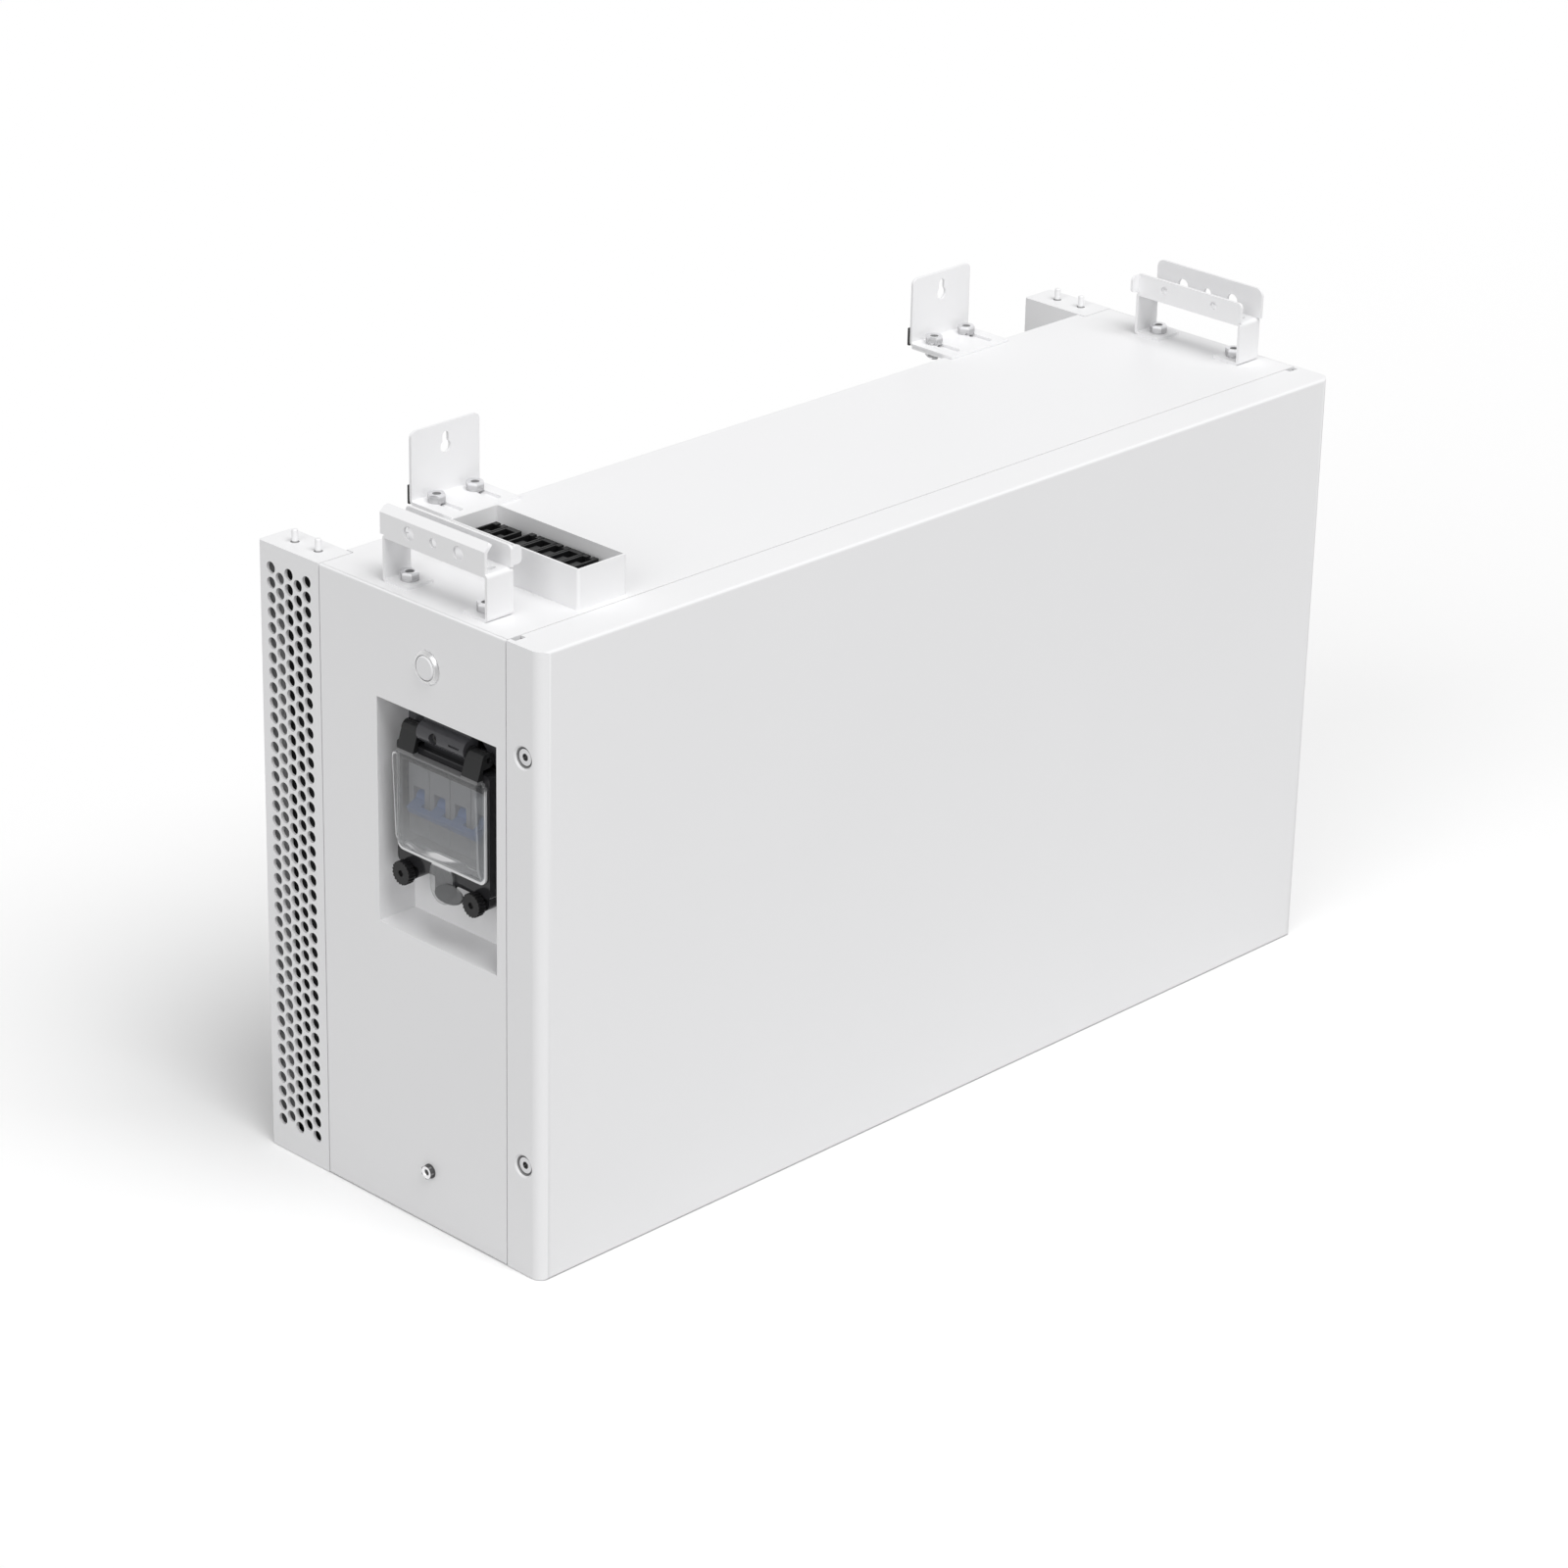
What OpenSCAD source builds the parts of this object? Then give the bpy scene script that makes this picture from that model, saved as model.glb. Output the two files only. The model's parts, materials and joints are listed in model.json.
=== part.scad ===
/* [Case] */
// Length of the case from end face to end face
case_l = 700; // [700:10:900]
// Height of the case
case_h = 400; // [380:5:520]
// Depth of the case from the cover face to the back plate
case_d = 197; // [190:1:240]
// Sheet thickness of the case and its cover
sheet = 1.5; // [1:0.1:2]
// How far the front cover wraps round the ends, the top and the bottom
cover_wrap = 29; // [24:1:32]
// Outside radius of the cover's two upright corners
corner_r = 8; // [4:0.5:10]
// Outside radius of the small folds along the top and bottom edges
fold_r = 2; // [1.6:0.1:3]
// Width of the visible seams between sheets
seam = 0.7; // [0.2:0.1:0.9]
// Length of the relief notch at each corner of the cover's flanges
notch_l = 8; // [5:1:12]
// Width of the relief notch
notch_w = 4; // [1.5:0.5:5]

/* [Vent channels] */
// Sheet thickness of a vent channel
vent_t = 2; // [1.5:0.1:2.5]
// Width of a vent channel along the case
vent_w = 26; // [24:1:40]
// How far a vent channel stands off behind the back plate
vent_off = 47; // [44:1:60]
// How far a vent channel is let into the corner of the case
vent_inset = 7; // [4:1:10]
// Diameter of one vent hole
vent_hole_d = 7.5; // [5:0.1:7.5]
// Distance between neighbouring hole columns
vent_col_pitch = 8; // [7.6:0.1:9]
// Distance between neighbouring holes in one column
vent_row_pitch = 9.6; // [9:0.1:12]
// Number of hole columns
vent_cols = 5; // [3:2:5]
// Distance from the top of the case to the first row of holes
vent_top = 15; // [12:1:40]
// Distance from the floor to the last row of holes
vent_bottom = 20; // [14:1:40]
// Thickness of the foam filter inside a vent channel
filter_t = 4; // [3:0.5:8]
// Diameter of the locating pins on top of the channels
pin_d = 4; // [3:0.5:6]
// Height of the locating pins above the top of the case
pin_h = 8; // [6:0.5:12]
// Distance between the two locating pins of one channel
pin_pitch = 21; // [16:1:28]

/* [Wall brackets] */
// Width of a wall bracket along the case
wall_w = 55; // [50:1:80]
// Distance from the end face to the near side of a wall bracket
wall_x = 103.5; // [103:0.5:140]
// Height of the upright plate above the top of the case
wall_h = 46; // [40:1:70]
// Thickness of the wall bracket sheet
wall_t = 2; // [1.5:0.5:4]
// Distance from the back plate to the wall side of the upright plate
wall_reach = 30; // [28:1:40]
// Distance between the two slots in the bracket's foot
wall_slot_pitch = 31; // [26:1:34]
// Width of the slots in the bracket's foot
wall_slot_w = 6.6; // [6.4:0.1:8]
// Width of the narrow end of the keyhole
key_slot_w = 5; // [4:0.5:6]
// Diameter of the wide end of the keyhole
key_head_d = 8; // [7:0.5:12]
// Overall height of the keyhole
key_h = 13.5; // [12:0.5:20]
// Distance from the top of the upright plate down to the keyhole
key_drop = 5.5; // [4:0.5:12]
// Thickness of the rubber pad on the wall side
pad_t = 2; // [1:0.5:4]
// Height of the rubber pad
pad_h = 12; // [8:1:20]

/* [Handle brackets] */
// Length of a handle bracket across the case
handle_l = 89; // [80:1:110]
// Width of a handle bracket along the case
handle_w = 20; // [18:1:30]
// Height of a handle bracket's top plate above the case
handle_h = 29; // [26:1:45]
// Thickness of the handle bracket sheet
handle_t = 2; // [1.5:0.5:3]
// Distance from the end face to the handle bracket
handle_x = 9; // [8:1:20]
// Distance from the cover face to the handle bracket
handle_y = 54.5; // [45:0.5:70]
// Length of each foot
handle_foot = 21; // [20:1:25]
// Height of the upright flanges above the top plate
flange_h = 13.3; // [12:0.1:20]
// Length of the slanted lip on the outer flange
lip_l = 6.5; // [4:0.5:10]
// Slant of the lip from upright; the bracket at the plain end keeps it straight
lip_deg = 45; // [20:5:60]
// How far the outer flange is shifted towards one end
flange_shift = 2; // [0:0.5:3]
// Diameter of the large holes in the flanges
flange_hole_d = 8.5; // [6:0.5:9]
// Diameter of the middle hole in the outer flange
flange_mid_hole_d = 6; // [4:0.5:7]
// Distance between neighbouring holes in the outer flange
flange_hole_pitch = 21; // [18:0.5:24]
// Width of the wing at one end of the inner flange
wing_w = 6.5; // [5:0.5:10]

/* [Terminal box] */
// Length of the terminal box along the case
tbox_l = 38.5; // [36:0.5:42]
// Width of the terminal box across the case
tbox_w = 109.5; // [104:0.5:120]
// Height of the terminal box above the case
tbox_h = 25; // [22:1:40]
// Wall thickness of the terminal box
tbox_t = 1.5; // [1:0.1:2]
// Distance from the end face to the terminal box
tbox_x = 60; // [54:0.5:60]
// Distance from the cover face to the terminal box
tbox_y = 34; // [33:0.5:44]
// Number of connectors in the row
plug_count = 7; // [4:1:8]
// Distance from the rim of the box down to the top of the connectors
plug_drop = 6.5; // [6:0.5:9]

/* [Power button] */
// Distance from the cover face to the button's axis
button_y = 95.6; // [70:0.2:120]
// Distance from the top of the case down to the button's axis
button_drop = 36.6; // [30:0.2:40]
// Diameter of the button's bezel
bezel_d = 21; // [20:0.5:26]
// Diameter of the button's threaded barrel
barrel_d = 18; // [17:0.5:19]
// How far the bezel stands out from the end face
bezel_out = 2.2; // [1.8:0.1:3]
// Diameter of the button's cap
button_cap_d = 15; // [12:0.5:15]
// How far the cap stands out from the bezel at rest
cap_out = 0.6; // [0.2:0.1:1.4]
// Travel of the button's cap
button_travel = 1.5; // [1:0.1:2]

/* [Breaker recess] */
// Width of the recess in the end panel
recess_w = 102.5; // [98:0.5:108]
// Height of the recess
recess_h = 144; // [138:1:160]
// Depth of the recess
recess_depth = 28; // [26:1:34]
// Distance from the cover face to the recess
recess_y = 37.5; // [36:0.5:42]
// Distance from the top of the case down to the recess
recess_drop = 68; // [62:1:70]
// Width of the breaker frame
frame_w = 80; // [78:1:84]
// Distance from the cover face to the middle of the breaker
breaker_y = 92; // [88:0.5:94]
// Distance from the top of the case down to the middle of the breaker
breaker_drop = 131.5; // [130:0.5:134]
// Width of the clear window
window_w = 76.5; // [74:0.5:78]
// Height of the clear window
window_h = 65; // [62:1:66]
// Wall thickness of the clear window
window_t = 1.6; // [1.2:0.1:2]
// Width of the finger tab under the clear window
tab_w = 20; // [14:1:26]
// Length of the finger tab
tab_l = 24; // [14:1:26]
// Number of breaker poles
poles = 4; // [2:1:4]
// Width of one breaker pole
pole_w = 18; // [17:0.5:18]
// Diameter of the thumb screw heads
thumb_d = 15; // [12:0.5:16]
// Distance between the two thumb screws
thumb_pitch = 61; // [58:0.5:62]

/* [Battery] */
// Number of cell columns along the case
cell_cols = 8; // [4:2:8]
// Room between the cells and the plain end panel
pack_end_room = 40; // [40:1:80]
// Room between the cells and the back plate
pack_back_room = 27; // [27:1:60]
// Height of the case that the two tiers of cells leave free
pack_high_room = 70; // [70:1:120]
// Gap between neighbouring cells
cell_gap = 2; // [1:0.5:2]
// Thickness of the aluminium end plates
end_plate_t = 8; // [6:1:10]

/* [Hidden] */

$fn = 48;
eps = 0.01;
// Small clearance between pieces that nearly touch
near_gap = 0.3;
// Clearance of a moving piece from its neighbours
move_gap = 0.6;
// Radial clearance of a pin or thread in its hole
fit_gap = 0.05;

// Whole object
total_d = case_d + vent_off;
vent_y = case_d - vent_inset;
vent_d = total_d - vent_y;
rim_inset = 4;
notch_in = 2;
rim_y = 8;
panel_edge_r = 1.2;
panel_flange = 12;

// Fasteners, metric M6 and M4
m6_d = 6;
m6_hole = 6.6;
m6_head_af = 10;
m6_head_h = 4;
m6_dish_d = 7;
m6_dish_h = 1;
m6_washer_d = 10.8;
m6_washer_t = 1.5;
m6_washer_split = 1;
m6_socket_af = 4;
m6_nut_h = 5;
m6_thread_end = 2;
m4_d = 4;
m4_hole = 4.5;
chamfer_deg = 30;
hex_round = 2 / sqrt(3);
stack_l = sheet + m6_nut_h + m6_thread_end;

// Cover screws in their dimples
cover_screw_y = 15.3;
cover_screw_drop = 67.6;
cover_screw_rise = 72;
dimple_d = 15;
dimple_depth = 1.8;
dimple_wall = 1.5;
cover_head_d = 11.5;
cover_head_h = 2.2;
cover_socket_depth = 2;
cover_screw_l = 16;
cover_nut_d = 9;
cover_nut_l = 10;
screw_gap = 0.1;

// Ground screw
ground_y = 97;
ground_z = 37;
ground_head_af = 8;
ground_head_h = 2.6;
ground_dish_d = 4.8;
ground_washer_t = 0.8;

// Vent channels
vent_mid_y = vent_y + vent_d / 2;
vent_rows = floor((case_h - vent_top - vent_bottom) / vent_row_pitch + eps);
filter_edge_gap = 0.5;
pin_shift = 1.5;
pin_hole_room = 1.3;
pin_hole_d = pin_d + pin_hole_room;
pin_collar_d = 8;
pin_collar_h = 2;
pin_tip = 1;
rivet_d = 4;
rivet_head_d = 8;
rivet_head_h = 1;
rivet_tail_d = 6;
rivet_tail_h = 2;
rivet_x = 10;
rivet_end = 50;
rivet_count = 4;

// Wall brackets
wall_face_y = case_d + wall_reach;
wall_bolt_back = 19;
wall_bolt_y = case_d + wall_bolt_back;
wall_foot_lap = 8;
wall_foot_y = case_d - wall_foot_lap;
wall_slot_over = 2.5;
wall_slot_front = case_d - wall_slot_over;
wall_tab_lap = 1;
wall_slot_back = wall_bolt_y + wall_slot_w / 2;
wall_bend_r = 3;
wall_corner_r = 4;

// Handle brackets
handle_bolt_in = 12;
handle_mid_y = handle_y + handle_l / 2;
handle_bend_r = 2.5;
handle_tie_l = 6;
handle_tie_w = 3;
handle_tie_in = 7.5;
straight_corner_r = 5;
inner_hole_d = 5.5;
lip_corner_r = 3;
wing_rise = 1;

// Terminal box and its connectors
tbox_r = 2;
tbox_floor = 1;
plug_gap = 0.6;
plug_row_w = 84.5;
plug_group = 2;
plug_group_gap = 5;
plug_group_shift = 3;
plug_pitch = (plug_row_w - plug_group_gap) / plug_count;
plug_l = 27;
plug_h = 12;
plug_wall = 1.4;
plug_ear = 4;
plug_slot_w = 2.4;
plug_pocket = 5;
plug_tongue = 7;
plug_top = case_h + tbox_h - plug_drop;
plug_side = 15.5;
plug_y = tbox_y + tbox_t + plug_side;
base_lip = 4;
base_lip_h = 3;
base_depth = 12;
base_rim = 1;
base_x = tbox_x + (tbox_l - plug_l) / 2 - base_rim;
base_l = plug_l + 2 * base_rim;

// Power button
button_z = case_h - button_drop;
button_bore = button_cap_d + 2 * near_gap;
bezel_chamfer = 1.6;
bezel_edge = 0.8;
cap_h = 9;
cap_round = 0.8;
switch_l = 22;
switch_tail = 6;
button_nut_af = 22;
button_nut_h = 3;
pin_tab_l = 7;
pin_tab_w = 2.8;
pin_tab_t = 0.8;
pin_tab_out = 3.5;

// Breaker recess
recess_z = case_h - recess_drop - recess_h;
tub_flange = 6;
breaker_z = case_h - breaker_drop;
nose_h = 45;
nose_front = 13.5;
nose_gap = 0.5;
nose_w = poles * pole_w;

// Breaker frame
frame_front = 8;
frame_r = 3;
frame_hole_h = 51;
frame_fall = 40.5;
frame_bottom = breaker_z - frame_fall;
hinge_x = 12;
hinge_rise = 45.5;
hinge_z = breaker_z + hinge_rise;
hinge_r = 5;
hinge_bar_r = 6.5;
hinge_bar_w = 41;
hinge_lug_w = 14;
hinge_pin_d = 3;
hinge_pin_l = 22;
frame_rise = 10;
frame_top = hinge_z + frame_rise;
ring_drop = 3;
ring_top = hinge_z - hinge_r - ring_drop;
bar_rise = 2;
bar_z = hinge_z + bar_rise;
frame_screw_shift = 6;
frame_screw_y = breaker_y + frame_screw_shift;
frame_screw_head_d = 6.6;
frame_screw_head_h = 2.4;
frame_screw_sunk = 3;
frame_slot_shift = 12;
frame_slot_y = breaker_y - frame_slot_shift;
frame_slot_l = 9;
frame_slot_h = 1.2;
thumb_fall = 44.5;
thumb_z = breaker_z - thumb_fall;
thumb_front = 1.5;
thumb_t = 5;
thumb_neck_d = 8;
thumb_neck_l = 4;
thumb_post_d = 12;
thumb_grip_count = 20;
thumb_grip_d = 1.4;
thumb_dot_d = 4;
thumb_dot_h = 1.5;
screw_past = 6;
latch_w = 16;
latch_h = 9;
latch_t = 8;

// Clear window
window_back = frame_front - near_gap;
window_rise = 33.5;
window_top = breaker_z + window_rise;
window_z = window_top - window_h;
window_rim = 2;
window_rim_r = 5;
window_box_r = 4;
window_front_top = 0.8;
window_front_low = 3;
window_slope_h = 8;
window_slope_x = 2;
window_lug_fall = 1;
tab_overlap = 4;

// Breaker
toggle_x = 20;
toggle_r = 13;
toggle_hub_r = 5;
toggle_t = 4.5;
toggle_w = 9;
toggle_down = 25;
toggle_bar_r = 11;
toggle_bar_t = 4;
toggle_pin_d = 3;
toggle_slot_h = 16;
pole_groove = 0.5;
pole_groove_d = 0.8;
pin_wall = 2;
breaker_h = 88;
shoulder_in = 4;
shoulder_x = recess_depth + sheet + near_gap;
shoulder_depth = 31;
breaker_deep = 48;
breaker_back = shoulder_x + breaker_deep;
clamp_w = 13;
clamp_h = 16;
clamp_d = 9;
rail_h = 35;
rail_t = 1;
rail_depth = 7.5;
rail_l = 90;
rail_lip = 5;
rail_hook = 3;
hook_t = 1.2;
rail_leg_h = 20;
rail_foot = 4;
rail_seat = 10;

// Battery
pack_x = 150;
cell_y = 55;
cell_l = (case_l - pack_end_room - pack_x + cell_gap) / cell_cols - cell_gap;
cell_d = case_d - pack_back_room - cell_y;
cell_h = (case_h - pack_high_room) / 2;
tray_h = 14;
shelf_t = 2;
tray_side = 2;
cell_pitch = cell_l + cell_gap;
pack_l = cell_cols * cell_pitch - cell_gap;
tier_z = sheet + tray_h + shelf_t;
tier_pitch = cell_h + shelf_t;
pack_h = 2 * tier_pitch - shelf_t;
post_d = 12;
post_h = 4;
post_in = 16;
bus_t = 3;
bus_w = 20;
bus_y = cell_y - post_h - bus_t;
pad_margin = 5;
rod_d = 6;
rod_out = 10;
rod_nut_h = 5;
rod_in = 22;
rod_over = 7;
rod_high_z = tier_z + pack_h + rod_over;
end_foot_l = 14;
end_foot_h = 4;
rod_low_z = sheet + end_foot_h + m6_head_af * hex_round / 2 + near_gap;
insulator_t = 1.5;
insulator_y = 40;
insulator_lip = 4;
board_plate_x = 104;
board_plate_y = 66;
board_plate_t = 2;
board_plate_foot = 12;
board_mid_y = 122;
board_x = 114;
board_t = 1.6;
board_w = 96;
board_h = 260;
board_z = 60;
board_hole_in = 6;
chip_count = 7;
chip_h = 14;
chip_t = 5;
chip_in = 14;
chip_step = 30;
standoff_d = 7;
link_t = 3;
link_w = 12;
link_x = shoulder_x + shoulder_depth / 2 - link_t / 2;
link_tongue = 8;

white = [0.93, 0.93, 0.94];
steel = [0.7, 0.7, 0.72];
black = [0.08, 0.08, 0.09];
dark = [0.2, 0.2, 0.21];
copper = [0.8, 0.45, 0.25];

// Shared helpers

// Puts the origin under the middle of the object
module in_frame() {
  translate([-case_l / 2, -total_d / 2, 0])
    children();
}

// The same thing mirrored to the far end
module mirrored_end() {
  translate([case_l, 0, 0])
    mirror([1, 0, 0])
      children();
}

module both_ends() {
  children();
  mirrored_end()
    children();
}

// Flat outline drawn in Y and Z, extruded along X
module along_x(length) {
  rotate([90, 0, 90])
    linear_extrude(length)
      children();
}

// Flat outline drawn in X and Z, extruded along Y
module along_y(length) {
  translate([0, length, 0])
    rotate([90, 0, 0])
      linear_extrude(length)
        children();
}

module rod_x(d, length) {
  rotate([0, 90, 0])
    cylinder(d = d, h = length);
}

module rod_y(d, length) {
  rotate([-90, 0, 0])
    cylinder(d = d, h = length);
}

module cone_x(d1, d2, length) {
  rotate([0, 90, 0])
    cylinder(d1 = d1, d2 = d2, h = length);
}

module hex_x(af, length) {
  rotate([0, 90, 0])
    cylinder(d = af * hex_round, h = length, $fn = 6);
}

module rounded_rect(w, h, r) {
  translate([r, 0])
    square([w - 2 * r, h]);
  translate([0, r])
    square([w, h - 2 * r]);
  for (x = [r, w - r], y = [r, h - r])
    translate([x, y])
      circle(r);
}

// Rectangle whose two corners at the low side of Y are rounded
module round_low_side(w, h, r) {
  translate([r, 0])
    square([w - 2 * r, h]);
  translate([0, r])
    square([w, h - r]);
  for (x = [r, w - r])
    translate([x, r])
      circle(r);
}

// Rectangle whose two corners at the low side of X are rounded
module round_low_end(w, h, r) {
  translate([r, 0])
    square([w - r, h]);
  translate([0, r])
    square([w, h - 2 * r]);
  for (y = [r, h - r])
    translate([r, y])
      circle(r);
}

module slot_2d(length, w) {
  translate([-length / 2 + w / 2, -w / 2])
    square([length - w, w]);
  for (s = [-1, 1])
    translate([s * (length - w) / 2, 0])
      circle(d = w);
}

// Hexagon bolt pointing down, its spring washer's seat at z = 0
module hex_bolt(shank) {
  head_z = m6_washer_t;
  top_r = m6_head_af / 2;
  difference() {
    union() {
      translate([0, 0, head_z])
        intersection() {
          cylinder(d = m6_head_af * hex_round, h = m6_head_h, $fn = 6);
          cylinder(r1 = top_r + m6_head_h / tan(chamfer_deg), r2 = top_r, h = m6_head_h);
        }
      translate([0, 0, -shank])
        cylinder(d = m6_d, h = shank + head_z + eps);
    }
    translate([0, 0, head_z + m6_head_h - m6_dish_h])
      cylinder(d1 = m6_dish_d / 2, d2 = m6_dish_d, h = m6_dish_h + eps);
  }
}

// Split ring under a bolt head
module spring_washer() {
  difference() {
    cylinder(d = m6_washer_d, h = m6_washer_t);
    translate([0, 0, -eps])
      cylinder(d = m6_d + 2 * screw_gap, h = m6_washer_t + 2 * eps);
    rotate(-45)
      translate([0, -m6_washer_split / 2, -eps])
        cube([m6_washer_d, m6_washer_split, m6_washer_t + 2 * eps]);
  }
}

// Hexagon nut hanging below z = 0
module hex_nut() {
  translate([0, 0, -m6_nut_h])
    difference() {
      cylinder(d = m6_head_af * hex_round, h = m6_nut_h, $fn = 6);
      translate([0, 0, -eps])
        cylinder(d = m6_d + 2 * fit_gap, h = m6_nut_h + 2 * eps);
    }
}

// Case

// Solid outer form of the folded cover, front corners and long edges rounded
module cover_form(inset, depth, edge_r) {
  l = case_l - 2 * inset;
  h = case_h - 2 * inset;
  translate([inset, inset, inset])
    intersection() {
      linear_extrude(h)
        round_low_side(l, depth, corner_r - inset);
      along_x(l)
        round_low_end(depth, h, edge_r);
    }
}

module cover_screw_places() {
  for (z = [cover_screw_rise, case_h - cover_screw_drop])
    translate([0, cover_screw_y, z])
      children();
}

// Countersunk hole of one cover screw, cut through the cover's dimple
module dimple_cut() {
  translate([-eps, 0, 0])
    cone_x(dimple_d, cover_head_d + 2 * screw_gap, dimple_depth + eps);
  translate([dimple_depth - eps, 0, 0])
    cone_x(cover_head_d + 2 * screw_gap, m6_d + 2 * screw_gap, cover_head_h + eps);
  rod_x(m6_hole, rim_inset + sheet);
}

module front_cover() {
  color(white)
    in_frame()
      difference() {
        union() {
          difference() {
            cover_form(0, cover_wrap, fold_r);
            cover_form(sheet, cover_wrap, fold_r / 2);
          }
          both_ends()
            cover_screw_places()
              translate([sheet - eps, 0, 0])
                cone_x(dimple_d + dimple_wall, m6_hole + 2 * dimple_wall, rim_inset - sheet + eps);
        }
        both_ends() {
          cover_screw_places()
            dimple_cut();
          for (z = [-eps, case_h - sheet - eps])
            translate([sheet + notch_in, cover_wrap - notch_w, z])
              cube([notch_l, notch_w + eps, sheet + 2 * eps]);
        }
      }
}

// Upper half of the chassis sheet seen from the end
module chassis_half() {
  top_y = cover_wrap + seam;
  rim_z = case_h - rim_inset - sheet;
  translate([top_y, case_h - sheet])
    square([case_d - top_y - fold_r, sheet]);
  translate([top_y, rim_z])
    square([sheet, rim_inset + sheet]);
  translate([rim_y, rim_z])
    square([top_y - rim_y + sheet, sheet]);
  translate([case_d - fold_r, case_h - fold_r])
    intersection() {
      difference() {
        circle(fold_r);
        circle(max(fold_r - sheet, eps));
      }
      square(fold_r);
    }
  translate([case_d - sheet, case_h / 2 - eps])
    square([sheet, case_h / 2 - fold_r + eps]);
}

module chassis_section() {
  chassis_half();
  translate([0, case_h])
    mirror([0, 1])
      chassis_half();
}

// Tab of the top plate that carries a wall bracket behind the case
module wall_tab() {
  tab_y = case_d - fold_r - wall_tab_lap;
  translate([wall_x, tab_y, case_h - sheet])
    cube([wall_w, wall_face_y - wall_t - near_gap - tab_y, sheet]);
}

module top_bolt_hole(depth) {
  translate([0, 0, -depth - eps])
    cylinder(d = m6_hole, h = depth + 2 * eps);
}

module chassis() {
  end_in = sheet + seam / 2;
  color(white)
    in_frame()
      difference() {
        union() {
          translate([end_in, 0, 0])
            along_x(case_l - 2 * end_in)
              chassis_section();
          both_ends()
            wall_tab();
        }
        both_ends() {
          translate([-eps, vent_y - seam, -eps])
            cube([vent_w + seam, total_d, case_h + 2 * eps]);
          wall_bolt_places()
            top_bolt_hole(sheet);
        }
        handle_pair()
          handle_bolt_places()
            top_bolt_hole(sheet);
        translate([0, 0, case_h - sheet])
          base_opening(sheet);
      }
}

// Outline in X and Z of an end panel, its upper and lower edges rounded
module panel_edge() {
  intersection() {
    square([sheet, case_h]);
    round_low_end(case_l, case_h, panel_edge_r);
  }
}

module channel_rivet_places() {
  for (k = [0:rivet_count - 1])
    translate([rivet_x, 0, rivet_end + k * (case_h - 2 * rivet_end) / (rivet_count - 1)])
      children();
}

// End panel shared by both ends: flat face, joggled front rim and turned flanges
module end_panel() {
  front_y = cover_wrap + seam;
  back_y = vent_y - seam;
  rim_z = rim_inset + sheet + near_gap;
  rim_h = case_h - 2 * rim_z;
  difference() {
    union() {
      translate([0, front_y, 0])
        along_y(back_y - front_y)
          panel_edge();
      for (z = [sheet, case_h - 2 * sheet])
        translate([0, front_y + rim_inset + sheet, z])
          cube([panel_flange, back_y - front_y - rim_inset - 2 * sheet, sheet]);
      translate([0, back_y - sheet, sheet])
        cube([vent_w + panel_flange, sheet, case_h - 2 * sheet]);
      translate([0, front_y, rim_z])
        cube([rim_inset + sheet, sheet, rim_h]);
      translate([rim_inset, rim_y, rim_z])
        cube([sheet, front_y - rim_y + sheet, rim_h]);
    }
    cover_screw_places()
      rod_x(m6_hole, cover_screw_l);
    channel_rivet_places()
      translate([0, back_y - sheet - eps, 0])
        rod_y(rivet_d + 2 * fit_gap, sheet + 2 * eps);
  }
}

module breaker_end_panel() {
  color(white)
    in_frame()
      difference() {
        end_panel();
        translate([-eps, recess_y, recess_z])
          cube([sheet + 2 * eps, recess_w, recess_h]);
        translate([-eps, button_y, button_z])
          rod_x(barrel_d + 2 * screw_gap, sheet + 2 * eps);
        translate([-eps, ground_y, ground_z])
          rod_x(m4_hole, sheet + 2 * eps);
      }
}

module plain_end_panel() {
  color(white)
    in_frame()
      mirrored_end()
        end_panel();
}

// Breaker recess

module breaker_recess_tub() {
  cut_w = nose_w + 2 * nose_gap;
  cut_h = nose_h + 2 * nose_gap;
  color(white)
    in_frame()
      difference() {
        translate([sheet, recess_y, recess_z])
          union() {
            translate([0, -sheet, -sheet])
              cube([recess_depth, recess_w + 2 * sheet, recess_h + 2 * sheet]);
            translate([0, -tub_flange, -tub_flange])
              cube([sheet, recess_w + 2 * tub_flange, recess_h + 2 * tub_flange]);
          }
        translate([-eps, recess_y, recess_z])
          cube([recess_depth + eps, recess_w, recess_h]);
        translate([0, breaker_y - cut_w / 2, breaker_z - cut_h / 2])
          cube([2 * recess_depth, cut_w, cut_h]);
        frame_screw_place()
          rod_x(m4_hole, 2 * recess_depth);
        thumb_places()
          rod_x(m4_hole, 2 * recess_depth);
      }
}

// Vent channels

module vent_holes() {
  middle = (vent_cols - 1) / 2;
  for (c = [0:vent_cols - 1]) {
    odd = c % 2;
    for (r = [0:vent_rows - odd])
      translate([-eps, vent_mid_y + (c - middle) * vent_col_pitch,
        case_h - vent_top - (r + odd / 2) * vent_row_pitch])
        rod_x(vent_hole_d, vent_t + 2 * eps, $fn = 24);
  }
}

module pin_places() {
  for (s = [-1, 1])
    translate([vent_w / 2, vent_mid_y - pin_shift + s * pin_pitch / 2, 0])
      children();
}

module vent_channel() {
  difference() {
    translate([vent_w, vent_y, 0])
      rotate([0, 0, 90])
        linear_extrude(case_h)
          mirror([1, 0])
            translate([-vent_d, 0])
              round_low_end(vent_d, vent_w, fold_r);
    translate([vent_t, vent_y + vent_t, vent_t])
      cube([vent_w - 2 * vent_t, vent_d - 2 * vent_t, case_h - 2 * vent_t]);
    vent_holes();
    pin_places()
      for (z = [-eps, case_h - vent_t - eps])
        translate([0, 0, z])
          cylinder(d = pin_hole_d, h = vent_t + 2 * eps);
    channel_rivet_places()
      translate([0, vent_y - eps, 0])
        rod_y(rivet_d + 2 * fit_gap, vent_t + 2 * eps);
  }
}

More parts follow.
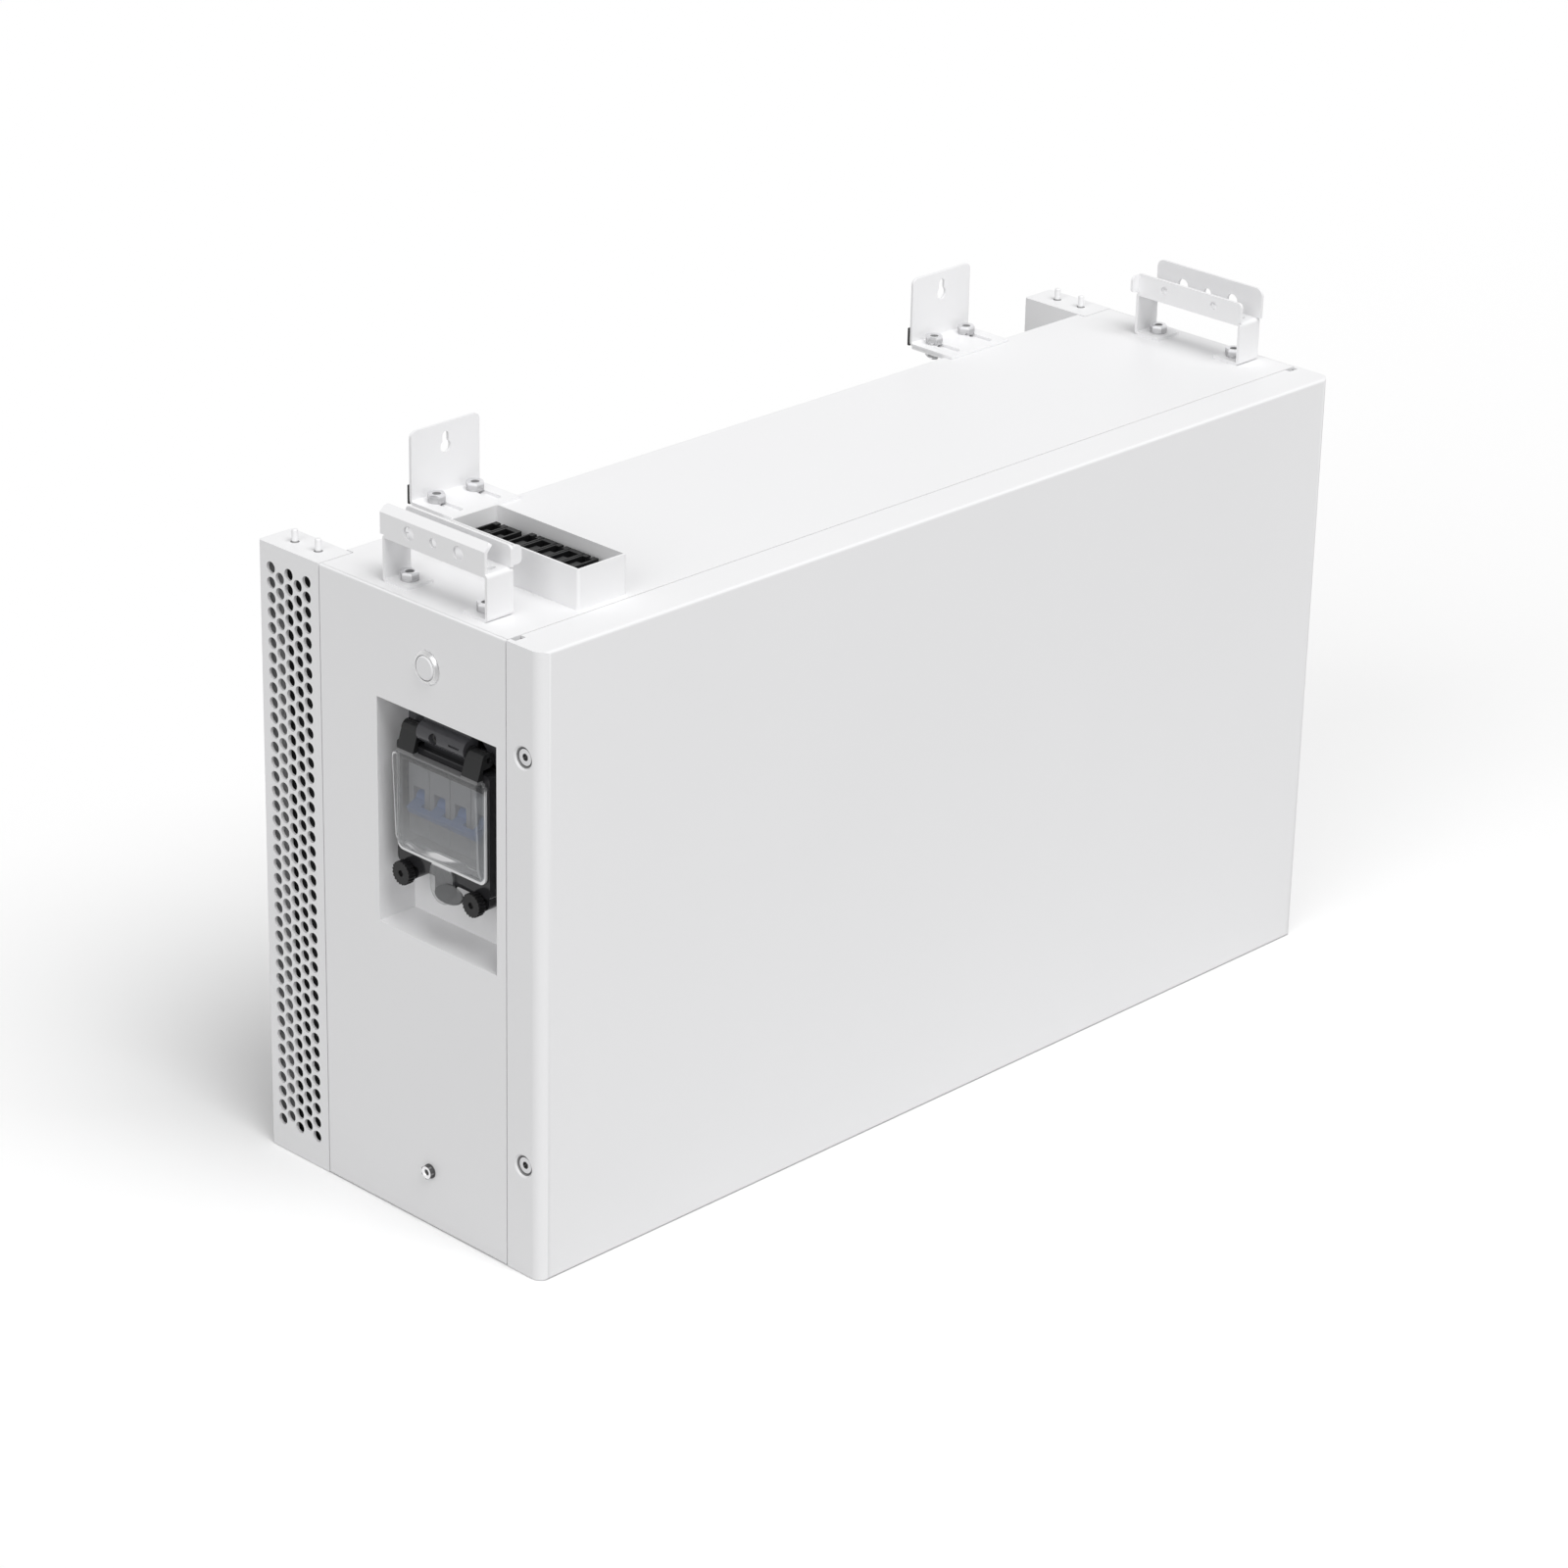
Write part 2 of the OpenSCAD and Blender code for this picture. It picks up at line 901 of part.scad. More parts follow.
module vent_channel_left() {
  color(white)
    in_frame()
      vent_channel();
}

module vent_channel_right() {
  color(white)
    in_frame()
      mirrored_end()
        vent_channel();
}

module vent_filter() {
  top = case_h - vent_t - pin_collar_h - near_gap;
  translate([vent_w - vent_t - filter_t, vent_y + vent_t + filter_edge_gap, vent_t])
    cube([filter_t, vent_d - 2 * (vent_t + filter_edge_gap), top - vent_t]);
}

module vent_filter_left() {
  color(black)
    in_frame()
      vent_filter();
}

module vent_filter_right() {
  color(black)
    in_frame()
      mirrored_end()
        vent_filter();
}

// Blind rivets that hold a channel to the end panel's rear flange
module channel_rivets() {
  flange_y = vent_y - seam - sheet;
  color(steel)
    in_frame()
      both_ends()
        channel_rivet_places() {
          translate([0, flange_y - rivet_tail_h, 0])
            rod_y(rivet_tail_d, rivet_tail_h);
          translate([0, flange_y - eps, 0])
            rod_y(rivet_d, vent_y + vent_t - flange_y + 2 * eps);
          translate([0, vent_y + vent_t, 0])
            rod_y(rivet_head_d, rivet_head_h);
        }
}

module locating_pins() {
  straight = vent_t + pin_h - pin_tip;
  color(white)
    in_frame()
      both_ends()
        pin_places()
          translate([0, 0, case_h - vent_t]) {
            cylinder(d = pin_d, h = straight);
            cylinder(d1 = pin_hole_d - 2 * screw_gap, d2 = pin_d + 2 * screw_gap, h = vent_t);
            translate([0, 0, straight])
              cylinder(d1 = pin_d, d2 = pin_d - 2 * pin_tip * tan(chamfer_deg), h = pin_tip);
            translate([0, 0, -pin_collar_h])
              cylinder(d = pin_collar_d, h = pin_collar_h);
          }
}

// Wall brackets

module wall_bolt_places() {
  for (s = [-1, 1])
    translate([wall_x + wall_w / 2 + s * wall_slot_pitch / 2, wall_bolt_y, case_h])
      children();
}

module keyhole_2d() {
  translate([0, key_head_d / 2])
    circle(d = key_head_d);
  translate([0, key_h - key_slot_w / 2])
    circle(d = key_slot_w);
  translate([-key_slot_w / 2, key_head_d / 2])
    square([key_slot_w, key_h - key_head_d / 2 - key_slot_w / 2]);
}

// Bent bracket sheet seen from the end, drawn in Y and Z
module wall_bracket_section() {
  foot_l = wall_face_y - wall_foot_y;
  translate([foot_l, 0])
    mirror([1, 0])
      difference() {
        intersection() {
          round_low_end(foot_l, wall_h + wall_bend_r, wall_bend_r);
          square([foot_l, wall_h]);
        }
        translate([wall_t, wall_t])
          round_low_end(foot_l, wall_h + wall_bend_r, wall_bend_r - wall_t + eps);
      }
}

module wall_bracket() {
  foot_l = wall_face_y - wall_foot_y;
  slot_l = wall_slot_back - wall_slot_front;
  difference() {
    translate([wall_x, wall_foot_y, case_h])
      intersection() {
        along_x(wall_w)
          wall_bracket_section();
        union() {
          cube([wall_w, foot_l, wall_h - wall_corner_r]);
          along_y(foot_l)
            rounded_rect(wall_w, wall_h, wall_corner_r);
        }
      }
    translate([wall_x + wall_w / 2, 0, case_h + wall_h - key_drop - key_h])
      along_y(total_d)
        keyhole_2d();
    wall_bolt_places()
      translate([0, wall_slot_back - slot_l / 2 - wall_bolt_y, -eps])
        linear_extrude(wall_t + 2 * eps)
          rotate(90)
            slot_2d(slot_l, wall_slot_w);
  }
}

module wall_bracket_left() {
  color(white)
    in_frame()
      wall_bracket();
}

module wall_bracket_right() {
  color(white)
    in_frame()
      mirrored_end()
        wall_bracket();
}

module wall_pads() {
  color(black)
    in_frame()
      both_ends()
        translate([wall_x, wall_face_y, case_h])
          cube([wall_w, pad_t, pad_h]);
}

module wall_bracket_bolts() {
  color(steel)
    in_frame()
      both_ends()
        wall_bolt_places()
          translate([0, 0, wall_t])
            hex_bolt(wall_t + stack_l);
}

// Handle brackets

// The bracket at each end: the same part turned half round
module handle_pair() {
  children();
  translate([case_l, 2 * handle_mid_y, 0])
    rotate(180)
      children();
}

module handle_bolt_places() {
  for (y = [handle_y + handle_bolt_in, handle_y + handle_l - handle_bolt_in])
    translate([handle_x + handle_w / 2, y, case_h])
      children();
}

// Outer flange and its lip seen from the end, drawn in X and Z
module lip_section(lean) {
  lip_x = lip_l * sin(lean);
  lip_z = lip_l * cos(lean);
  polygon([
    [0, -eps],
    [handle_t, -eps],
    [handle_t, flange_h - handle_t * tan(lean / 2)],
    [handle_t * cos(lean) + lip_x, flange_h + lip_z - handle_t * sin(lean)],
    [lip_x, flange_h + lip_z],
    [0, flange_h]
  ]);
}

// Plate in Y and Z whose two upper corners are rounded
module flange_plate(w, h, r) {
  intersection() {
    square([w, h]);
    translate([0, -r])
      rounded_rect(w, h + r, r);
  }
}

module outer_flange(lean) {
  lip_top = flange_h + lip_l * cos(lean);
  translate([0, flange_shift, handle_h])
    intersection() {
      along_y(handle_l)
        lip_section(lean);
      translate([0, 0, -eps])
        along_x(handle_w)
          flange_plate(handle_l, lip_top + eps, lean > 0 ? lip_corner_r : straight_corner_r);
    }
}

module inner_flange() {
  wing_h = flange_h - 2 * wing_rise;
  translate([handle_w - handle_t, 0, handle_h - eps])
    along_x(handle_t)
      flange_plate(handle_l, flange_h, lip_corner_r);
  translate([handle_w, 0, handle_h + wing_rise])
    along_y(handle_t)
      translate([wing_w, 0])
        mirror([1, 0])
          round_low_end(wing_w + eps, wing_h, lip_corner_r);
}

// Handle bracket whose outer flange ends in a lip that leans inwards by this angle
module handle_bracket(lean) {
  mid = handle_l / 2;
  hole_z = handle_h + flange_h / 2;
  translate([handle_x, handle_y, case_h])
    difference() {
      union() {
        difference() {
          along_x(handle_w)
            rounded_rect(handle_l, handle_h, handle_bend_r);
          translate([-eps, handle_t, handle_t])
            cube([handle_w + 2 * eps, handle_l - 2 * handle_t, handle_h - 2 * handle_t]);
          translate([-eps, handle_foot, -eps])
            cube([handle_w + 2 * eps, handle_l - 2 * handle_foot, handle_t + 2 * eps]);
        }
        outer_flange(lean);
        inner_flange();
      }
      for (k = [-1:1])
        translate([-eps, mid + flange_shift / 2 + k * flange_hole_pitch, hole_z])
          rod_x(k == 0 ? flange_mid_hole_d : flange_hole_d, handle_t + 2 * eps);
      for (k = [-1, 1])
        translate([handle_w - handle_t - eps, mid + k * flange_hole_pitch, hole_z])
          rod_x(inner_hole_d, handle_t + 2 * eps);
      for (y = [handle_tie_in, handle_l - handle_tie_in])
        translate([handle_w / 2, y, handle_h - handle_t - eps])
          linear_extrude(handle_t + 2 * eps)
            slot_2d(handle_tie_l, handle_tie_w);
      for (y = [handle_bolt_in, handle_l - handle_bolt_in])
        translate([handle_w / 2, y, handle_t])
          top_bolt_hole(handle_t);
    }
}

module handle_bracket_left() {
  color(white)
    in_frame()
      handle_bracket(lip_deg);
}

module handle_bracket_right() {
  color(white)
    in_frame()
      translate([case_l, 2 * handle_mid_y, 0])
        rotate(180)
          handle_bracket(0);
}

module handle_bolts() {
  color(steel)
    in_frame()
      handle_pair()
        handle_bolt_places()
          translate([0, 0, handle_t])
            hex_bolt(handle_t + stack_l);
}

module spring_washers() {
  color(steel)
    in_frame() {
      both_ends()
        wall_bolt_places()
          translate([0, 0, wall_t])
            spring_washer();
      handle_pair()
        handle_bolt_places()
          translate([0, 0, handle_t])
            spring_washer();
    }
}

module bracket_nuts() {
  color(steel)
    in_frame()
      translate([0, 0, -sheet]) {
        both_ends()
          wall_bolt_places()
            hex_nut();
        handle_pair()
          handle_bolt_places()
            hex_nut();
      }
}

// Case screws

module cover_screws() {
  color(steel)
    in_frame()
      both_ends()
        cover_screw_places()
          translate([dimple_depth, 0, 0])
            difference() {
              union() {
                cone_x(cover_head_d, m6_d, cover_head_h);
                rod_x(m6_d, cover_screw_l);
              }
              translate([-eps, 0, 0])
                hex_x(m6_socket_af, cover_socket_depth);
            }
}

// Rivet nuts pressed into the rims behind the cover screws
module cover_nuts() {
  color(steel)
    in_frame()
      both_ends()
        cover_screw_places()
          translate([rim_inset + sheet, 0, 0])
            difference() {
              rod_x(cover_nut_d, cover_nut_l);
              translate([-eps, 0, 0])
                rod_x(m6_d + 2 * fit_gap, cover_nut_l + 2 * eps);
            }
}

module ground_screw() {
  head_x = ground_washer_t + ground_head_h;
  color(steel)
    in_frame()
      translate([0, ground_y, ground_z])
        difference() {
          union() {
            translate([-ground_washer_t, 0, 0])
              rod_x(ground_head_af * hex_round, ground_washer_t);
            translate([-head_x, 0, 0])
              hex_x(ground_head_af, ground_head_h);
            rod_x(m4_d, panel_flange);
          }
          translate([-head_x - eps, 0, 0])
            cone_x(ground_dish_d, ground_dish_d / 2, ground_head_h / 2);
        }
}

// Terminal box

// Hole in the top plate and in the box's floor that the connectors come through
module base_opening(depth) {
  translate([base_x, plug_y - base_rim, -eps])
    cube([base_l, plug_row_w + 2 * base_rim, depth + 2 * eps]);
}

module terminal_box() {
  color(white)
    in_frame()
      difference() {
        translate([tbox_x, tbox_y, case_h])
          difference() {
            linear_extrude(tbox_h)
              rounded_rect(tbox_l, tbox_w, tbox_r);
            translate([tbox_t, tbox_t, tbox_floor])
              cube([tbox_l - 2 * tbox_t, tbox_w - 2 * tbox_t, tbox_h]);
          }
        translate([0, 0, case_h])
          base_opening(tbox_floor);
      }
}

module connector_base() {
  low_z = case_h - base_depth;
  color(black)
    in_frame()
      translate([base_x, plug_y - base_rim, low_z]) {
        translate([near_gap, near_gap, 0])
          cube([base_l - 2 * near_gap, plug_row_w + 2 * (base_rim - near_gap), plug_top - plug_h - low_z]);
        translate([-base_lip, -near_gap, base_depth - sheet - base_lip_h])
          cube([base_l + 2 * base_lip, plug_row_w + 2 * base_rim, base_lip_h]);
      }
}

// One connector: a block with a recessed plug face, a tongue, and a slot through one end of its rim
module connector(w, turned) {
  difference() {
    cube([plug_l, w, plug_h]);
    translate([plug_ear, plug_wall, plug_h - plug_pocket])
      cube([plug_l - 2 * plug_ear, w - 2 * plug_wall, plug_pocket + eps]);
    translate([turned ? -eps : plug_l - plug_ear - eps, (w - plug_slot_w) / 2, plug_h - plug_pocket])
      cube([plug_ear + 2 * eps, plug_slot_w, plug_pocket + eps]);
  }
  translate([(plug_l - plug_tongue) / 2, 2 * plug_wall, plug_h - plug_pocket - eps])
    cube([plug_tongue, w - 4 * plug_wall, plug_pocket - plug_wall]);
}

// A row with the last few connectors set apart as a group of their own
module connector_row() {
  color(black)
    in_frame()
      for (k = [0:plug_count - 1]) {
        apart = k < plug_count - plug_group ? 0 : 1;
        x = base_x + base_rim - apart * plug_group_shift;
        y = plug_y + k * plug_pitch + plug_gap / 2 + apart * plug_group_gap;
        translate([x, y, plug_top - plug_h])
          connector(plug_pitch - plug_gap, k % 2 == 1);
      }
}

// Power button

module at_button() {
  in_frame()
    translate([0, button_y, button_z])
      rotate([0, 90, 0])
        children();
}

module button_bezel() {
  color(steel)
    at_button()
      rotate_extrude()
        polygon([
          [button_bore / 2, -bezel_out],
          [bezel_d / 2 - bezel_chamfer, -bezel_out],
          [bezel_d / 2, -bezel_edge],
          [bezel_d / 2, 0],
          [barrel_d / 2, 0],
          [barrel_d / 2, switch_l],
          [button_bore / 2, switch_l]
        ]);
}

module button_cap() {
  front = -bezel_out - cap_out;
  edge = button_cap_d / 2;
  color(white)
    at_button()
      rotate_extrude()
        polygon([
          [0, front],
          [edge - cap_round, front],
          [edge, front + cap_round],
          [edge, front + cap_h],
          [0, front + cap_h]
        ]);
}

module button_switch() {
  front = cap_h - bezel_out - cap_out + button_travel + near_gap;
  color(black)
    at_button() {
      translate([0, 0, front])
        cylinder(d = button_bore - 2 * fit_gap, h = switch_l - front + switch_tail);
      for (s = [-1, 1])
        translate([-pin_tab_t / 2, s * pin_tab_out - pin_tab_w / 2, switch_l + switch_tail - eps])
          cube([pin_tab_t, pin_tab_w, pin_tab_l]);
    }
}

module button_nut() {
  color(steel)
    at_button()
      translate([0, 0, sheet])
        difference() {
          cylinder(d = button_nut_af * hex_round, h = button_nut_h, $fn = 6);
          translate([0, 0, -eps])
            cylinder(d = barrel_d + 2 * fit_gap, h = button_nut_h + 2 * eps);
        }
}

// Breaker frame, window and screws

module frame_screw_place() {
  translate([0, frame_screw_y, bar_z])
    children();
}

module thumb_places() {
  for (s = [-1, 1])
    translate([0, breaker_y + s * thumb_pitch / 2, thumb_z])
      children();
}

// Starts each hinge at the end of the frame's hinge bar, pointing outwards
module hinge_places() {
  for (s = [0, 1])
    translate([hinge_x, breaker_y, hinge_z])
      mirror([0, s, 0])
        translate([0, hinge_bar_w / 2, 0])
          children();
}

// Hinge bar of the frame seen from its end, drawn in X and Z
module hinge_bar_section() {
  translate([hinge_x, bar_z])
    circle(hinge_bar_r);
  translate([hinge_x, ring_top - eps])
    square([recess_depth - hinge_x, frame_top - ring_top]);
}

module breaker_frame() {
  frame_y = breaker_y - frame_w / 2;
  back_bar_x = hinge_x + hinge_r + move_gap;
  post_x = thumb_front + thumb_t + thumb_neck_l;
  hole_w = nose_w + 2 * nose_gap;
  screw_seat = hinge_x - hinge_bar_r + frame_screw_sunk + frame_screw_head_h;
  color(dark)
    in_frame()
      difference() {
        union() {
          translate([frame_front, frame_y, frame_bottom])
            along_x(recess_depth - frame_front)
              rounded_rect(frame_w, ring_top - frame_bottom, frame_r);
          translate([back_bar_x, frame_y, frame_bottom + frame_r])
            cube([recess_depth - back_bar_x, frame_w, frame_top - frame_bottom - frame_r]);
          translate([0, breaker_y - hinge_bar_w / 2 + near_gap, 0])
            along_y(hinge_bar_w - 2 * near_gap)
              hinge_bar_section();
          thumb_places() {
            translate([post_x, 0, 0])
              rod_x(thumb_post_d, recess_depth - post_x);
            translate([post_x, -thumb_post_d / 2, 0])
              cube([recess_depth - post_x, thumb_post_d, frame_bottom + frame_r - thumb_z]);
          }
        }
        translate([0, breaker_y - hole_w / 2, breaker_z - frame_hole_h / 2])
          cube([recess_depth + eps, hole_w, frame_hole_h]);
        frame_screw_place() {
          rod_x(m4_hole, recess_depth + eps);
          rod_x(frame_screw_head_d + 2 * screw_gap, screw_seat);
        }
        translate([hinge_x - hinge_bar_r - eps, frame_slot_y - frame_slot_l / 2, bar_z])
          cube([frame_slot_h, frame_slot_l, frame_slot_h]);
        thumb_places()
          rod_x(m4_hole, recess_depth + eps);
        hinge_places()
          translate([0, -hinge_pin_l / 2, 0])
            rod_y(hinge_pin_d, hinge_pin_l);
      }
}

module frame_screw() {
  head_x = hinge_x - hinge_bar_r + frame_screw_sunk;
  color(steel)
    in_frame()
      frame_screw_place()
        difference() {
          translate([head_x, 0, 0])
            union() {
              rod_x(frame_screw_head_d, frame_screw_head_h);
              rod_x(m4_d, recess_depth - head_x + screw_past);
            }
          translate([head_x - eps, 0, 0])
            hex_x(frame_screw_head_d / 2, frame_screw_head_h / 2);
        }
}

// Side outline of the window's box in X and Z, shrunk by a wall on every side but the back
module window_section(wall) {
  low = window_z + window_rim + wall;
  high = window_top - wall;
  polygon([
    [window_back, low],
    [window_back - window_slope_x + wall, low],
    [window_front_low + wall, low + window_slope_h],
    [window_front_top + wall, high - window_slope_x],
    [window_front_top + window_slope_x + wall, high],
    [window_back, high]
  ]);
}

// Box of the window: its side outline, with the corners seen from the front rounded
module window_box(wall, back) {
  w = window_w - 2 * window_rim - 2 * wall;
  h = window_h - window_rim - 2 * wall;
  intersection() {
    translate([0, breaker_y - w / 2, 0])
      along_y(w)
        union() {
          window_section(wall);
          translate([window_back - eps, window_z + window_rim + wall])
            square([back + eps, h]);
        }
    translate([-recess_depth, breaker_y - w / 2, window_z + window_rim + wall])
      along_x(2 * recess_depth)
        rounded_rect(w, h, window_box_r - wall / 2);
  }
}

// Hinge lug of the window seen from its end, drawn round the hinge axis in X and Z
module window_lug_section() {
  rim = window_back - hinge_x;
  drop = window_top - hinge_z - window_lug_fall;
  circle(hinge_r);
  polygon([
    [rim - hinge_r, drop],
    [rim, drop],
    [rim, -hinge_r - near_gap],
    [0, -hinge_r + eps],
    [-hinge_r + eps, 0]
  ]);
}

// Clear window: a shallow box with a rim, two hinge lugs and a finger tab
module breaker_window() {
  rim_x = window_back - window_t;
  color([0.75, 0.78, 0.8, 0.4])
    in_frame()
      difference() {
        union() {
          translate([rim_x, breaker_y - window_w / 2, window_z])
            along_x(window_t)
              rounded_rect(window_w, window_h, window_rim_r);
          window_box(0, 0);
          hinge_places()
            translate([0, near_gap, 0])
              along_y(hinge_lug_w)
                window_lug_section();
          translate([rim_x, breaker_y - tab_w / 2, window_z - tab_l])
            along_x(window_t)
              rounded_rect(tab_w, tab_l + tab_overlap, tab_w / 2 - eps);
        }
        window_box(window_t, 1);
        hinge_places()
          translate([0, -eps, 0])
            rod_y(hinge_pin_d + 2 * fit_gap, hinge_pin_l);
      }
}

module window_hinge_pins() {
  color(steel)
    in_frame()
      hinge_places()
        translate([0, -hinge_pin_l / 2, 0])
          rod_y(hinge_pin_d, hinge_pin_l);
}

module window_latch() {
  hook_in = 3;
  color(black)
    in_frame()
      translate([frame_front + near_gap, breaker_y - latch_w / 2, frame_bottom - latch_h])
        difference() {
          cube([latch_t, latch_w, latch_h]);
          translate([hook_in, -eps, -eps])
            cube([latch_t, latch_w + 2 * eps, latch_h - hook_in]);
        }
}

module thumb_screw() {
  stem_x = thumb_front + thumb_t;
  difference() {
    translate([thumb_front, 0, 0])
      rod_x(thumb_d, thumb_t);
    for (k = [0:thumb_grip_count - 1])
      rotate([k * 360 / thumb_grip_count, 0, 0])
        translate([thumb_front - eps, thumb_d / 2, 0])
          rod_x(thumb_grip_d, thumb_t + 2 * eps, $fn = 16);
    translate([thumb_front - eps, 0, 0])
      rod_x(thumb_dot_d, thumb_dot_h);
  }
  translate([stem_x - eps, 0, 0])
    rod_x(thumb_neck_d, thumb_neck_l + eps);
  translate([stem_x, 0, 0])
    rod_x(m4_d, recess_depth - stem_x + screw_past);
}

module thumb_screws() {
  color(black)
    in_frame()
      thumb_places()
        thumb_screw();
}

// Breaker and its rail

// Side outline of the breaker in X and Z
module breaker_outline() {
  low = breaker_z - breaker_h / 2;
  hook_z = rail_h / 2 + near_gap;
  hook_x = breaker_back + rail_t + 2 * near_gap;
  translate([nose_front, breaker_z - nose_h / 2])
    square([shoulder_x - nose_front + eps, nose_h]);
  translate([shoulder_x, low + shoulder_in])
    square([shoulder_depth + eps, breaker_h - 2 * shoulder_in]);
  translate([shoulder_x + shoulder_depth, low])
    square([breaker_back - shoulder_x - shoulder_depth, breaker_h]);
  for (s = [0, 1])
    translate([0, breaker_z])
      mirror([0, s]) {
        translate([breaker_back - eps, hook_z])
          square([hook_x + hook_t - breaker_back + eps, rail_lip]);
        translate([hook_x, hook_z - rail_hook])
          square([hook_t, rail_hook + eps]);
      }
}

module pole_places() {
  for (k = [0:poles - 1])
    translate([0, breaker_y - nose_w / 2 + (k + 0.5) * pole_w, breaker_z])
      children();
}

module breaker_body() {
  pin_l = nose_w - 2 * pin_wall;
  slot_w = toggle_w + 2 * near_gap;
  color([0.55, 0.56, 0.58])
    in_frame()
      difference() {
        translate([0, breaker_y - nose_w / 2, 0])
          along_y(nose_w)
            breaker_outline();
        for (k = [1:poles - 1])
          translate([nose_front - eps, breaker_y - nose_w / 2 + k * pole_w - pole_groove / 2,
            breaker_z - nose_h])
            cube([pole_groove_d, pole_groove, 2 * nose_h]);
        pole_places() {
          translate([toggle_x, -slot_w / 2, 0])
            rod_y(2 * (toggle_hub_r + near_gap), slot_w);
          translate([0, -slot_w / 2, -toggle_slot_h / 2])
            cube([toggle_x, slot_w, toggle_slot_h]);
          for (s = [0, 1])
            mirror([0, 0, s])
              translate([link_x + link_t / 2 - clamp_d / 2, -clamp_w / 2, breaker_h / 2 - shoulder_in - clamp_h])
                cube([clamp_d, clamp_w, clamp_h + shoulder_in + eps]);
        }
        translate([toggle_x, breaker_y - pin_l / 2, breaker_z])
          rod_y(toggle_pin_d, pin_l);
      }
}

module breaker_toggle() {
  bar_w = nose_w - pole_w + toggle_w;
  color([0.25, 0.4, 0.65])
    in_frame()
      translate([toggle_x, breaker_y, breaker_z])
        rotate([0, -toggle_down, 0])
          difference() {
            union() {
              for (k = [0:poles - 1])
                translate([0, -nose_w / 2 + (k + 0.5) * pole_w - toggle_w / 2, 0]) {
                  rod_y(2 * toggle_hub_r, toggle_w);
                  translate([-toggle_r, 0, -toggle_t / 2])
                    cube([toggle_r, toggle_w, toggle_t]);
                }
              translate([-toggle_bar_r - toggle_bar_t / 2, -bar_w / 2, -toggle_bar_t / 2])
                cube([toggle_bar_t, bar_w, toggle_bar_t]);
            }
            translate([0, -nose_w, 0])
              rod_y(toggle_pin_d + 2 * fit_gap, 2 * nose_w);
          }
}

module toggle_pivot_pin() {
  pin_l = nose_w - 2 * pin_wall;
  color(steel)
    in_frame()
      translate([toggle_x, breaker_y - pin_l / 2, breaker_z])
        rod_y(toggle_pin_d, pin_l);
}

// Top-hat rail seen from its end, drawn in X and Z
module rail_section() {
  web_z = rail_h / 2 - rail_lip - rail_t;
  for (s = [0, 1])
    mirror([0, s]) {
      translate([0, web_z])
        square([rail_t, rail_lip + rail_t]);
      translate([0, web_z])
        square([rail_depth, rail_t]);
      translate([rail_depth - rail_t, -eps])
        square([rail_t, web_z + rail_t]);
    }
}

module din_rail() {
  color(steel)
    in_frame()
      translate([breaker_back + near_gap, breaker_y - rail_l / 2, breaker_z])
        along_y(rail_l)
          rail_section();
}

module din_rail_brackets() {
  foot_x = shoulder_x - near_gap;
  seat_x = breaker_back + near_gap + rail_depth;
  side_y = rail_l / 2 + near_gap;
  color(steel)
    in_frame()
      for (s = [0, 1])
        translate([0, breaker_y, breaker_z - rail_leg_h / 2])
          mirror([0, s, 0]) {
            translate([foot_x, side_y, 0])
              cube([seat_x + sheet - foot_x, sheet, rail_leg_h]);
            translate([seat_x, side_y - rail_seat, 0])
              cube([sheet, rail_seat + eps, rail_leg_h]);
            translate([foot_x, side_y - rail_foot, 0])
              cube([sheet, rail_foot + eps, rail_leg_h]);
          }
}

// Battery pack

module cell_places() {
  for (t = [0, 1], c = [0:cell_cols - 1])
    translate([pack_x + c * cell_pitch, cell_y, tier_z + t * tier_pitch])
      children();
}

// One prismatic cell with its two posts on the front face
module battery_cell() {
  cube([cell_l, cell_d, cell_h]);
  for (z = [post_in, cell_h - post_in])
    translate([cell_l / 2, -post_h, z])
      rod_y(post_d, post_h + eps);
}

module battery_cells() {
  color([0.2, 0.35, 0.6])
    in_frame()
      cell_places()
        battery_cell();
}

module cell_pads() {
  color(dark)
    in_frame()
      for (t = [0, 1], c = [0:cell_cols - 2])
        translate([pack_x + c * cell_pitch + cell_l, cell_y + pad_margin, tier_z + t * tier_pitch + pad_margin])
          cube([cell_gap, cell_d - 2 * pad_margin, cell_h - 2 * pad_margin]);
}

module rod_places() {
  for (z = [rod_low_z, rod_high_z], y = [cell_y + rod_in, cell_y + cell_d - rod_in])
    translate([0, y, z])
      children();
}

module cell_end_plates() {
  plate_h = rod_high_z + rod_d - sheet;
  color(steel)
    in_frame()
      difference() {
        for (s = [0, 1])
          translate([pack_x + pack_l / 2, cell_y, sheet])
            mirror([s, 0, 0])
              translate([pack_l / 2, 0, 0]) {
                cube([end_plate_t, cell_d, plate_h]);
                cube([end_plate_t + end_foot_l, cell_d, end_foot_h]);
              }
        rod_places()
          translate([pack_x - 2 * end_plate_t, 0, 0])
            rod_x(rod_d + 4 * fit_gap, pack_l + 4 * end_plate_t);
      }
}

module pack_tie_rods() {
  color(steel)
    in_frame()
      rod_places() {
        translate([pack_x - end_plate_t - rod_out, 0, 0])
          rod_x(rod_d, pack_l + 2 * (end_plate_t + rod_out));
        for (x = [pack_x - end_plate_t - rod_nut_h, pack_x + pack_l + end_plate_t])
          translate([x, 0, 0])
            hex_x(m6_head_af, rod_nut_h);
      }
}

module pack_tray() {
  color(steel)
    in_frame() {
      difference() {
        translate([pack_x, cell_y, sheet])
          cube([pack_l, cell_d, tray_h + shelf_t]);
        translate([pack_x - eps, cell_y + tray_side, sheet - eps])
          cube([pack_l + 2 * eps, cell_d - 2 * tray_side, tray_h]);
      }
      translate([pack_x, cell_y, tier_z + cell_h])
        cube([pack_l, cell_d, shelf_t]);
    }
}

